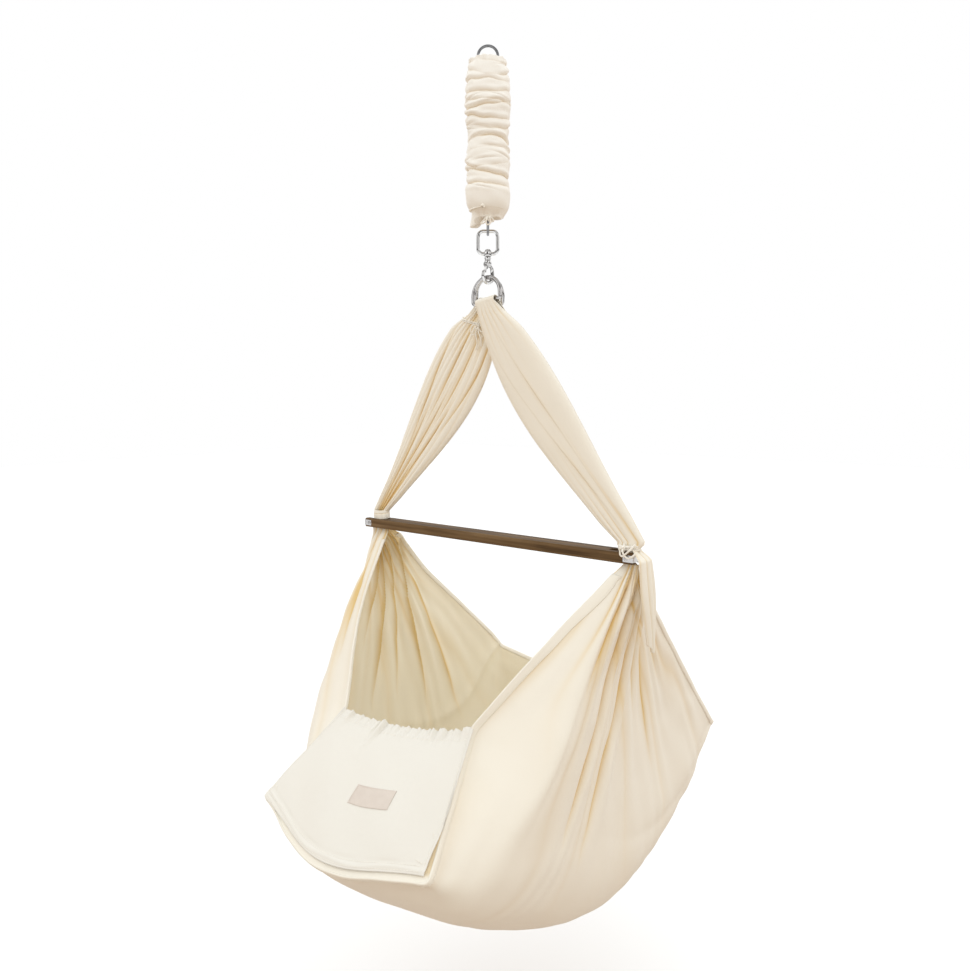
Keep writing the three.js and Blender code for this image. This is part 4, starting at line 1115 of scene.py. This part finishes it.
class Sling:
    """The sling's cloth: rows run from the foot edge to the head edge, columns from neck to neck."""

    def __init__(self):
        rows, t = grid(np.linspace(0, 1, SLING_ROWS), np.linspace(0, 1, SLING_STEPS) ** 1.15)
        halves = {"shape": [], "height": [], "fold": []}
        for k, side in enumerate(("left", "right")):
            points = sling_point(side, rows, t)
            width = np.linalg.norm(np.diff(points, axis=0), axis=-1).sum(0)[None, :]
            height, fold = sling_folds(side, rows, t, width, 21 + k)
            halves["height"].append(height + rim_crease(rows, t, (-0.42, -0.30)[k], (7, 6)[k]))
            halves["fold"].append(fold)
            shift, rim = SHIFT[side]
            outward = (shift + lerp(rim, FAN[side], np.sin(math.pi * rows))) * (1 - smooth(0, 0.25, t))
            points[..., 0] += SLING[side][0] * outward
            # The apex of the cloth also narrows along Y, so that it passes through the bar's slot.
            points[..., 1] *= lerp(1, 0.62, 1 - smooth(0, 0.045, t))
            halves["shape"].append(points)
        shape, height, self.fold = (both_halves(halves[key]) for key in ("shape", "height", "fold"))
        facing = unit(soften(normals_of(shape), 6))
        rough = spread(noise.normal(size=(22, 40)), *height.shape)
        height = height + 0.7 * MM * rough * smooth(0.05, 0.3, both_halves([t, t]))
        self.points = shape + height[..., None] * facing
        self.normals = normals_of(self.points)
        along = np.linalg.norm(np.diff(shape, axis=1), axis=-1)
        along = np.concatenate([np.zeros((SLING_ROWS, 1)), np.cumsum(along, 1)], 1)
        along -= along[:, SLING_STEPS - 1:SLING_STEPS]
        self.uv = np.stack([1.05 * (both_halves([rows, rows]) - 0.5), along], -1)

    def on(self, row, column, height=0.0):
        """Points at a height over the cloth, at fractional rows and columns."""
        height = np.asarray(height)[..., None]
        return at(self.points, row, column) + height * unit(at(self.normals, row, column))


def stitches(line, facing, length=3.4 * MM, gap=1.6 * MM, thread=0.33 * MM):
    """A row of sewn stitches along a line, each one a short thread that dips in at both ends."""
    run = run_of(line)
    lift = np.array([-0.3, 0.5, 0.7, 0.5, -0.3])[:, None] * thread
    parts = []
    for start in np.arange(2 * MM, run[-1] - length, length + gap):
        place = start + length * np.linspace(0, 1, 5)
        middle = sampled(line, run, place) + lift * sampled(facing, run, place)
        parts.append(tube(middle, thread * vec(0.5, 1, 1, 1, 0.5), 5))
    return joined(*parts)


# Across a hem: how far in from the cloth's edge as a share of its width, and height over the cloth in mm.
HEM_PROFILE = [(1.0, 1.05), (0.96, 1.6), (0.5, 1.75), (0.06, 1.7), (-0.07, 0.9),
               (-0.07, -0.9), (0.06, -1.7), (0.5, -1.75), (0.96, -1.6), (1.0, -1.05)]


def edge_hem(sling, name, edge, inward, wide):
    """A doubled hem along the sling's first or last row, on both faces of the cloth, with its stitches."""
    columns = np.linspace(6, 2 * SLING_STEPS - 8, 520)
    first = np.full(len(columns), float(edge))
    rim = sling.on(first, columns)
    step = np.linalg.norm(sling.on(first + inward, columns) - rim, axis=-1)
    step = inward * wide / np.maximum(step, 0.25 * MM)
    beyond = unit(rim - sling.on(first + 2 * inward, columns))
    points = []
    for reach, height in HEM_PROFILE:
        inside = np.clip(first + reach * step, 0, SLING_ROWS - 1)
        base = sling.on(inside, columns, np.full(len(columns), height * MM))
        points.append(base + beyond * (max(0.0, -reach) * wide))
    points = np.stack(points, 0)
    uv = np.stack(grid(3.6 * MM * np.arange(len(points)), run_of(points[4])), -1)
    hem = cloth(name, points, 0.7 * MM, COTTON, "cotton", "hammock", uv=uv)
    sewn = []
    for face in (1, -1):
        row = first + 0.86 * step
        line = sling.on(row, columns, np.full(len(columns), face * 2.0 * MM))
        sewn.append(stitches(line, face * unit(at(sling.normals, row, columns))))
    return [hem, make(f"{name}_stitches", joined(*sewn), COTTON, "hammock")]


def sling_cloth():
    sling = Sling()
    # Painted shade: one face gets the warmer, darker inside cotton, the other plain cotton; sling.fold paints
    # ochre shade in the folds.
    piece = cloth("sling_cloth", sling.points, 1.3 * MM, COTTON_INSIDE_PAINTED_SHADE, "cotton", "hammock",
                  uv=sling.uv, fold=sling.fold, other=COTTON)
    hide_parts("sling_left_side", "sling_right_side", "sling_floor_foot", "sling_floor_head")
    parts = edge_hem(sling, "sling_foot_hem", 0, 1, 9.5 * MM)
    parts += edge_hem(sling, "sling_head_hem", SLING_ROWS - 1, -1, 8 * MM)


# ---------- straps ----------
NECK_TOP = BAR_Z + BAR_TALL / 2 + 16 * MM
# Side of the object, how far the strap swells, and how far up that lies.
STRAPS = {"left": (-1, 0.041, 0.63), "right": (1, 0.0255, 0.75)}
NECK_HALF = {"left": 0.0172, "right": 0.0235}
NECK_X = {"left": 0.011 - APEX_X, "right": APEX_X + 0.005}
RING_CLEAR = 7.2 * MM       # from the ring wire's middle to the cloth's
TAIL_ROWS, STRAP_ROWS, WRAP_ROWS = 14, 170, 22
EASED = slice(190, 215)     # rows past the ring, where the wrap meets the back layer
# Pleats at a strap's ends: how many, their waver (size, rate across, rate down), place and least strength.
STRAP_PLEATS = {"left": (5.2, 0.5, 2.2, 3, 0.2, 0.25), "right": (2.3, 0.6, 2.0, 2, 0.1, 0.0)}
# Long folds: place across the strap and how far they lean.
STRAP_FOLDS = {
    "left": [(-0.70, 0.3), (-0.42, -0.12), (-0.16, 0.10), (0.08, -0.08),
             (0.30, 0.10), (0.52, 0.0), (0.76, -0.2)],
    "right": [(-0.42, 0.9), (0.22, 0.8)],
}


def flat_side(sign):
    middle, beside = hang_on_hook([(0, 0, RING_LOW), (0.001, 0, RING_LOW)], sign)
    return middle, unit(beside - middle)


def strap_point(name, u, w, way):
    """u runs from the ring to the bar's slot, w across the strap, way is -1 on the front layer."""
    sign, bulge, lift = STRAPS[name]
    first = flat_side(sign)[0] + vec(sign * 1.5 * MM, 0, -RING_CLEAR)
    last = vec(NECK_X[name], 0, NECK_TOP)
    k = np.clip(u, 0, 1)
    middle = first + (last - first) * k[..., None]
    middle[..., 0] -= sign * 12 * MM * np.sin(math.pi * k)
    half = lerp(0.024, NECK_HALF[name], k) + bulge * np.sin(math.pi * k**lift) ** 1.4
    deep = lerp(RING_CLEAR, 6.2 * MM, k) + 2 * MM * np.sin(math.pi * k)
    slope = 0.63 * np.minimum(6 * k, 1) * np.minimum(8 * (1 - k) + 0.15, 1)
    slope = np.maximum(slope, RING_TILT * (1 - k))
    # Below the neck the strap goes straight down into the slot.
    below = np.clip(u - 1, 0, 1)
    middle[..., 2] -= below * 30 * MM
    half = lerp(half, 0.013, smooth(0.1, 0.5, below))
    ends = np.exp(-((1 - k) / 0.16) ** 1.2) + 0.8 * np.exp(-(k / 0.10) ** 1.2)
    count, waver, over, down, start, least = STRAP_PLEATS[name]
    place = start + (0 if way < 0 else 0.5)
    ridge = np.abs(np.cos(math.pi * (count * w + waver * np.sin(over * w + down * k) + place)))
    reach = np.clip(least + ends, 0, 1)
    size = 2.6 * MM * (0.4 + half / 0.05) if name == "left" else 1.5 * MM
    relief = size * (ridge - 0.6) * reach
    fold = (1 - ridge) ** 3 * reach
    for place, lean in STRAP_FOLDS[name]:
        line = place * (1 - 0.45 * k) + lean * (k - 0.5) * (1 if way < 0 else -0.7)
        away = (w - line) * half
        if name == "left":
            strength = 0.5 + 0.5 * np.cos(2 * math.pi * (1.3 * k + 2.2 * place))
            relief = relief - 6.0 * MM * strength * np.exp(-np.abs(away) / (2.2 * MM))
            fold = fold + 1.5 * strength * np.exp(-np.abs(away) / (1.6 * MM))
        else:
            strength = 0.2 * smooth(0.03, 0.15, k) * (1 - smooth(0.88, 1, k))
            strength = strength + 0.8 * np.exp(-((k - (0.72 if place < 0 else 0.42)) / 0.11) ** 2)
            relief = relief + 2.6 * MM * strength * (smooth(-1.2 * MM, 1.2 * MM, away) - 0.5)
            fold = fold + 0.4 * strength * np.exp(-np.abs(away) / (2 * MM))
    height = (deep + relief) * (1 - np.abs(w) ** 5) ** 0.5
    offset = np.stack([w * half * np.cos(slope), way * height, sign * w * half * np.sin(slope)], -1)
    return middle + offset, np.clip(fold, 0, 1)


def strap(name):
    """One long cloth: up the front, over the ring's flat side and down the back, gathered into the slot."""
    middle, along = flat_side(STRAPS[name][0])
    across_w = np.linspace(-1, 1, 110)
    up = [np.linspace(1.75, 1, TAIL_ROWS, endpoint=False), np.linspace(1, 0.035, STRAP_ROWS)]
    u, w = grid(np.concatenate(up), across_w)
    front, fold_front = strap_point(name, u, w, -1)
    back, fold_back = strap_point(name, u, w, 1)
    pleats, lift, wide = (4.3, 0.7, 0.21) if name == "left" else (1.6, 0.5, 0.17)
    drape = 6.9 * MM + lift * MM * np.abs(np.cos(math.pi * pleats * across_w + 0.4))
    over = []
    for angle in np.radians(np.linspace(-8, 188, WRAP_ROWS)):
        away = -ALONG_Y * math.cos(angle) + np.cross(along, ALONG_Y) * math.sin(angle)
        over.append(middle + across_w[:, None] * 0.0205 * along + drape[:, None] * away)
    points = np.concatenate([front, over, back[::-1]], 0)
    fold = np.concatenate([fold_front, np.zeros((WRAP_ROWS, len(across_w))), fold_back[::-1]], 0)
    margin = 10
    points[EASED] = soften(points[EASED.start - margin:EASED.stop + margin], 3)[margin:-margin]
    length = run_of(points[:, 55])
    uv = np.stack(grid(length, across_w * wide / 2)[::-1], -1)
    # Painted shade: fold gives ochre shade in the strap's pleats and folds.
    piece = cloth(f"{name}_strap_cloth", points, 1.2 * MM, COTTON, "cotton", "hammock", uv=uv, fold=fold)
    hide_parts(f"{name}_strap")


def strap_outline(name, u, grow):
    """A closed line round both layers of a strap."""
    w = np.linspace(-1, 1, 60)
    level = np.full(60, u)
    front = strap_point(name, level, w, -1)[0] - ALONG_Y * grow
    back = strap_point(name, level, w, 1)[0] + ALONG_Y * grow
    across_strap = unit(front[-1] - front[0])
    sides = [back[-1] + across_strap * grow, back[0] - across_strap * grow]
    return np.concatenate([front, sides[:1] - ALONG_Y * grow, back[::-1], sides[1:] - ALONG_Y * grow])


def wound(outline, turns, rise):
    """A cord laid in a few turns on an outline, rising a little at each turn."""
    ring = curve_through(outline[::4], 90, closed=True)
    line = np.concatenate([ring] * turns)
    steps = np.linspace(-0.5, 0.5, len(line))[:, None]
    return line + steps * turns * rise * vec(0, 0, 1)


def bow(place, right, up, out, size):
    """A loose bow: two loops, two tails and the knot between them; each is a line of points."""
    shapes = [
        [(0, 0, 1), (5, 6, 4), (13, 5, 5), (15, -3, 5), (8, -7, 4), (1, -1, 2)],
        [(0, 0, 1), (-4, 4, 4), (-10, -1, 5), (-10, -10, 4), (-4, -9, 3), (0, -1, 2)],
        [(0, 0, 2), (3, -8, 4), (6, -17, 3), (6, -27, 2)],
        [(0, 0, 2), (-2, -9, 5), (0, -20, 4), (-3, -31, 2)],
        [(-3, 1, 1), (0, 3, 3), (3, 1, 4), (2, -2, 3), (-2, -2, 4), (-3, 1, 3)],
    ]
    return [[place + size * (a * right + b * up + c * out) for a, b, c in shape] for shape in shapes]


def strap_tie():
    line = wound(strap_outline("left", 0.075, 1.6 * MM), 2, 2.7 * MM)
    parts = [twisted(line, 1.3 * MM, 6 * MM)]
    knot = strap_point("left", vec(0.085), vec(0.15), -1)[0][0] - 3.5 * MM * ALONG_Y
    for shape in bow(knot, ALONG_X, vec(0, 0, 1), -ALONG_Y, 1.25 * MM):
        parts.append(twisted(curve_through(shape, 60), 1.2 * MM, 6 * MM))
    piece = make("left_strap_cord", joined(*parts), CORD, "hammock")
    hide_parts("left_strap_tie")


def neck_band():
    """The left neck's collar: a folded band of the same cotton, drawn tight over the bar."""
    middle = vec(-APEX_X + 0.012, 0, BAR_Z + BAR_TALL / 2)
    rise, angle = grid(np.linspace(0, 1, 26), circle(96))
    swell = 1.0 + 0.05 * np.sin(rise * math.pi) - 0.05 * rise
    rough = 0.35 * MM * np.cos(9 * angle + 5 * rise) + 0.5 * MM * np.cos(3 * angle - 2 * rise + 1)
    fold = 0.9 * MM * np.exp(-((rise - 0.58 - 0.06 * np.cos(angle)) / 0.05) ** 2)
    c, s = (np.sign(part) * np.abs(part) ** 0.75 for part in (np.cos(angle), np.sin(angle)))
    x = c * (0.0165 * swell + rough - fold)
    y = s * (0.0105 * swell + rough - fold)
    points = np.stack([middle[0] + x, middle[1] + y,
                       middle[2] + 0.6 * MM + 17 * MM * rise + 0.8 * MM * np.cos(2 * angle)], -1)
    uv = np.stack([0.09 * angle / (2 * math.pi), 0.018 * rise], -1)
    # Painted shade: fold gives ochre shade along the band's fold.
    piece = cloth("left_neck_band", points, 1.3 * MM, COTTON, "cotton", "hammock", uv=uv,
                  fold=fold / (0.9 * MM) * 0.6, wrap=True)
    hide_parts("left_neck_cord")


def neck_knot():
    """Cord wound three times round the right neck, over the bar's end, and knotted at the front."""
    middle = vec(APEX_X + 0.003, 0, BAR_Z + BAR_TALL / 2 + 6 * MM)
    angle = np.linspace(0, 6 * math.pi, 220)
    outline = np.stack([middle[0] + 18.2 * MM * np.cos(angle), middle[1] + 11.2 * MM * np.sin(angle),
                        middle[2] + np.linspace(-3.2, 4.2, 220) * MM + 0.8 * MM * np.sin(angle * 0.7)], 1)
    front = middle + vec(-5, -13.2, 0) * MM
    cross = [(-12, -9, 6), (-9, -19.2, -2), (-2, -20.6, -10),
             (6, -20.4, -13), (14, -19.6, -11), (21, -16, -6)]
    second = [(16, -10, 8), (10, -19.4, 0), (0, -21, -7),
              (-8, -20.4, -11), (-14, -19.8, -8), (-17, -15, 2)]
    knot = [(-4, -1, 1), (0, -3.5, 4), (4, -1.5, 1), (1, -2.5, -4), (-4, -3, -2), (-1, -5.5, 1), (3, -3.5, 3)]
    parts = [twisted(outline, 1.9 * MM, 8 * MM)]
    for shape in (cross, second):
        route = curve_through([middle + vec(4 + 0.7 * x, y, z) * MM for x, y, z in shape], 60)
        parts.append(twisted(route, 1.6 * MM, 7 * MM))
    parts.append(twisted(curve_through([front + vec(*p) * MM for p in knot], 70), 1.7 * MM, 7 * MM))
    piece = make("right_neck_binding", joined(*parts), CORD, "hammock")
    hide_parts("right_neck_cord")


# ---------- foot panel ----------
PANEL_SAG = 17 * MM
PANEL_BULGE = 16 * MM
PANEL_OUT = 1.6 * MM
# Gathers that run down from the elastic: place across, half width, how far down they reach, height in mm.
PANEL_GATHERS = [
    (0.335, 0.012, 0.34, 4.2), (0.362, 0.008, 0.25, -3.4), (0.312, 0.010, 0.3, -2.6),
    (0.735, 0.010, 0.12, 3.0), (0.758, 0.007, 0.15, -2.8), (0.80, 0.009, 0.14, 3.2),
    (0.83, 0.008, 0.12, -2.6), (0.075, 0.02, 0.22, 3.0), (0.11, 0.013, 0.2, -2.4),
    (0.93, 0.016, 0.16, -2.6), (0.55, 0.02, 0.14, 1.2)]
PANEL_UV = (0.33, 0.20)
# The patch's edges: from the top down, and from left to right.
PATCH_U, PATCH_V = (0.458, 0.588), (0.485, 0.725)


def panel_base(u, v):
    """u from the top edge down to the sling's foot edge, v from left to right."""
    cross = 2 * v - 1
    reach = np.minimum(np.abs(cross), 1)
    low = floor_point(0 * u, np.clip(cross, -1, 1))
    ends = [sling_point(side, np.zeros(1), np.array([TURN_SIDE]))[0] for side in ("left", "right")]
    top = ends[0] + (ends[1] - ends[0]) * v[..., None]
    top[..., 2] -= PANEL_SAG * (1 - cross**2)
    points = top + (low - top) * u[..., None]
    swell = PANEL_BULGE * np.sin(math.pi * np.clip(u, 0, 1)) * (1 - reach**3)
    points[..., 1] -= 0.7 * swell
    points[..., 2] += 0.7 * swell
    return points


def gather(v, middle, wide):
    return np.exp(-((v - middle) / wide) ** 2)


def panel_at(u, v):
    points = panel_base(u, v)
    facing = panel_facing(u, v)
    draw = 1 - smooth(0, 0.14, u)
    frill = (1.1 * np.cos(2 * math.pi * 23 * v + 2 * np.sin(9 * v)) + 0.9 * np.cos(2 * math.pi * 11 * v + 1)
             + 0.6 * np.cos(2 * math.pi * 37 * v)) * MM
    height = frill * draw * 0.6
    for middle, wide, length, depth in PANEL_GATHERS:
        reach = 1 - smooth(0.02, length, u)
        height = height + depth * MM * gather(v - 0.05 * u, middle, wide * (1 + 3.5 * u)) * reach
    # Slack that lies across the cloth, a soft dent beside each side seam and a ridge over the lower seam.
    height = height + 1.3 * MM * np.sin(5.1 * u + 3.0 * v) * np.sin(math.pi * np.clip(v, 0, 1))
    height = height + 1.0 * MM * np.cos(17 * v - 9 * u) * smooth(0.1, 0.4, u) * (1 - smooth(0.75, 1, u))
    height = height + 1.1 * MM * np.exp(-((u - 0.925 - 0.006 * np.sin(21 * v)) / 0.012) ** 2)
    height = height - 1.0 * MM * np.exp(-((u - 0.895) / 0.016) ** 2) * (0.6 + 0.4 * np.cos(31 * v))
    height = height + 0.8 * MM * np.exp(-((u - 0.968) / 0.010) ** 2)
    lift = 0.7 * frill * draw + 4.0 * MM * gather(v, 0.965, 0.02) * (1 - smooth(0, 0.08, u))
    lift = lift + (3.0 * MM * gather(v, 0.345, 0.02) + 2.0 * MM * gather(v, 0.78, 0.03)) * draw
    points = points + (height + PANEL_OUT)[..., None] * facing
    points[..., 2] += lift * (1 - smooth(0, 0.1, u))
    # The right edge stands off the wall near its lower end.
    points = points + (4.5 * MM * smooth(0.97, 1, v) * np.exp(-((u - 0.82) / 0.07) ** 2))[..., None] * facing
    return points


def panel_facing(u, v):
    e = 1e-3
    along = panel_base(u + e, v) - panel_base(u - e, v)
    over = panel_base(u, np.clip(v + e, 0, 1)) - panel_base(u, np.clip(v - e, 0, 1))
    facing = unit(np.cross(along, over))
    return np.where((facing[..., 1] > 0)[..., None], -facing, facing)


def panel_end(v):
    """The panel's lower edge lies a little above the sling's foot edge, except at its left end."""
    return 1 - 0.045 * smooth(0, 0.25, v)


def panel_right(u, v):
    """The panel's right edge leaves the side seam towards its lower corner."""
    return v * (1 - 0.035 * smooth(0.55, 1, u) * v**4)


def on_panel(u, v, height):
    """Points on the foot panel at a height over it, and the way it faces there."""
    facing = panel_facing(u, v)
    return panel_at(u, v) + height * facing, facing


def panel_uv(u, v):
    return np.stack([v * PANEL_UV[0], u * PANEL_UV[1]], -1)


def panel_seams():
    """Stitches along the panel's four sides, and the tacks at its corners."""
    sewn = []
    run = np.linspace(0.01, 0.99, 300)
    for level in (0.075, 0.945, 0.982):
        across_panel = panel_right(np.full(300, level), run)
        sewn.append(stitches(*on_panel(level * panel_end(run), across_panel, 0.75 * MM)))
    run = np.linspace(0.02, 0.94, 200)
    for place in (0.012, 0.994):
        sewn.append(stitches(*on_panel(run, panel_right(run, np.full(200, place)), 0.75 * MM)))
    tacks = [(0.87, 0.93, 0.885, 0.955), (0.70, 0.965, 0.725, 0.97), (0.86, 0.03, 0.88, 0.05)]
    for u0, v0, u1, v1 in tacks:
        tack, _ = on_panel(np.linspace(u0, u1, 30), np.linspace(v0, v1, 30), 1.0 * MM)
        sewn.append(twisted(tack, 0.55 * MM, 1.2 * MM))
    return make("foot_panel_stitches", joined(*sewn), CORD, "hammock")


def foot_band():
    """The sling's own cloth behind the panel's lower half."""
    u, v = grid(np.linspace(0.45, 1.0, 40), np.linspace(0, 1, 190))
    height = (0.6 * np.cos(15 * v) * smooth(0.8, 0.95, u) - 2.8 + 2.2 * smooth(0.88, 1, u)) * MM
    points = panel_base(u, v) + height[..., None] * panel_facing(u, v)
    # Painted shadow: fold here marks no fold but paints an ochre line near the right edge, in the gap beside
    # the wall.
    return cloth("sling_foot_band", points, 1.2 * MM, COTTON, "cotton", "hammock", uv=panel_uv(u, v),
                 fold=0.6 * smooth(0.90, 1, v) * (1 - smooth(0.93, 0.97, u)))


def label():
    """The blank woven patch, sewn on all round."""
    u, v = grid(np.linspace(*PATCH_U, 40), np.linspace(*PATCH_V, 60))
    rise = 1.05 * MM + 0.25 * MM * np.cos(13 * v + 7 * u)
    points, _ = on_panel(u, v, rise[..., None])
    piece = cloth("label_patch_cloth", points, 0.6 * MM, PATCH, "label", "hammock", uv=panel_uv(u, v))
    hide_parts("label_patch")
    (a, b), (c, d) = (PATCH_U[0] + 0.006, PATCH_U[1] - 0.006), (PATCH_V[0] + 0.007, PATCH_V[1] - 0.007)
    border = []
    for u0, v0, u1, v1 in ((a, c, a, d), (a, d, b, d), (b, d, b, c), (b, c, a, c)):
        line, facing = on_panel(np.linspace(u0, u1, 60), np.linspace(v0, v1, 60), 1.45 * MM)
        border.append(stitches(line, facing, 2.0 * MM, 1.0 * MM, 0.22 * MM))
    edge = make("label_patch_stitches", joined(*border), PATCH, "hammock")


def foot_panel():
    u, v = grid(np.linspace(-0.012, 1.0, 150), np.linspace(-0.008, 1.014, 190))
    u, v = u * panel_end(v), panel_right(u, v)
    piece = cloth("foot_panel_cloth", panel_at(u, v), 1.2 * MM, PANEL_COTTON, "panel_cotton", "hammock",
                  uv=panel_uv(u, v))
    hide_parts("foot_panel", "foot_panel_elastic")
    parts = [panel_seams(), foot_band()]
    label()


# ---------- mattress and the loose fold of cloth ----------
PAD = 30 * MM
PAD_LIFT = 20.5 * MM
QUILT = 75 * MM


def mattress():
    rows, columns = 150, 110
    u, v = grid(np.linspace(0, 1, rows), np.linspace(0, 1, columns))
    # Rounded corners: the outline is drawn in where both sides end.
    round_u = 0.5 + (u - 0.5) * (1 - 0.045 * np.abs(2 * v - 1) ** 6)
    round_v = 0.5 + (v - 0.5) * (1 - 0.10 * np.abs(2 * u - 1) ** 6)
    cross = lerp(-0.575, 0.575, round_v)
    s = lerp(0.133, 0.857, round_u)
    middle = soften(floor_point(s, cross), 8)
    inward = unit(np.stack([0 * s, -middle[..., 1], BAR_Z - middle[..., 2]], -1))
    middle = middle + (PAD_LIFT + 6 * MM * cross**2)[..., None] * inward
    facing = normals_of(middle)
    facing = np.where(((facing * inward).sum(-1) < 0)[..., None], -facing, facing)
    along, over = run_of(middle[:, columns // 2])[-1], run_of(middle[rows // 2])[-1]
    edge = np.minimum(np.minimum(u, 1 - u) * along, np.minimum(v, 1 - v) * over)
    round_off = 1 - np.clip(edge / (10 * MM), 0, 1)
    half = (PAD / 2 - 1.6 * MM) * np.sqrt(np.maximum(1 - 0.86 * round_off**2, 0))
    half = half + 1.4 * MM * np.sin(math.pi * u) * np.sin(math.pi * v)
    quilt_u, quilt_v = u * along / QUILT, v * over / QUILT
    diagonal = np.minimum(*(abs((way / 2) % 1 - 0.5) for way in (quilt_u + quilt_v, quilt_u - quilt_v)))
    seam = np.exp(-(diagonal * 2 * QUILT / (4 * MM)) ** 2) * smooth(0.012, 0.03, edge)
    top = middle + (half - 2.2 * MM * seam)[..., None] * facing
    bottom = middle - (half - 1.2 * MM * seam)[..., None] * facing
    count = rows * columns
    faces = grid_faces(rows, columns)
    faces += [[count + k for k in face[::-1]] for face in faces]
    rim = [*range(columns), *range(2 * columns - 1, count, columns),
           *range(count - 2, count - columns - 1, -1), *range(count - 2 * columns, 0, -columns)]
    faces += [[a, b, count + b, count + a] for a, b in zip(rim, rim[1:] + rim[:1])]
    uv = np.stack([v * over, u * along], -1)
    # Painted shade: the quilting seams are passed as fold, so the cover is faintly ochre along them.
    piece = make("mattress_pad", (np.concatenate([top, bottom]), faces), MATTRESS_COTTON,
                 "hammock", uv=np.concatenate([uv, uv]), fold=np.concatenate([seam, seam]) * 0.5)
    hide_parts("mattress")
    for name, height in (("top", 0.93), ("bottom", -0.93)):
        line = (middle + height * half[..., None] * facing).reshape(-1, 3)[rim]
        outward = unit(line - line.mean(0))
        line = curve_through((line + 0.6 * MM * outward)[::6], 420, closed=True)
        make(f"mattress_piping_{name}", tube(line, 1.7 * MM, 10, closed=True), MATTRESS_COTTON,
             "hammock")


def fabric_tail():
    """The loose end of the right strap's cloth, pleated and hanging outside the neck."""
    u, v = grid(np.linspace(0, 1, 110), np.linspace(0, 1, 70))
    x = APEX_X + 28 * MM + 14 * MM * np.sin(u * 1.6) + 3 * MM * v
    near = 1 - smooth(0, 0.12, u)
    y = lerp(-20, 15, v) * MM * (1 - 0.5 * smooth(0.35, 1, u)) * (1 - 0.4 * near)
    z = BAR_Z + lerp(14, -142, u) * MM
    pleat = np.abs(np.cos(math.pi * (2.6 * v + 0.25 * np.sin(3 * u) + 0.2)))
    x = x + 5.0 * MM * (pleat - 0.5) * (0.5 + 0.5 * smooth(0, 0.4, u)) - 13 * MM * near
    z = z + 7 * MM * np.cos(5 * v) * smooth(0.8, 1, u)
    x = x + 3.5 * MM * np.sin(math.pi * v) * (1 - near)
    # Painted shade: fold gives ochre shade in the pleats' valleys.
    piece = cloth("right_fabric_tail_cloth", np.stack([x, y, z], -1), 1.3 * MM, COTTON, "cotton", "hammock",
                  uv=np.stack([v * 0.05, u * 0.15], -1), fold=(1 - pleat) ** 3 * 0.6)
    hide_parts("right_fabric_tail")


# ---------- the whole ----------
studio()
spring()
sleeve()
drawstring()
swivel()
hook()
rings()
bar()
sling_cloth()
strap("left")
strap("right")
strap_tie()
neck_band()
neck_knot()
foot_panel()
mattress()
fabric_tail()
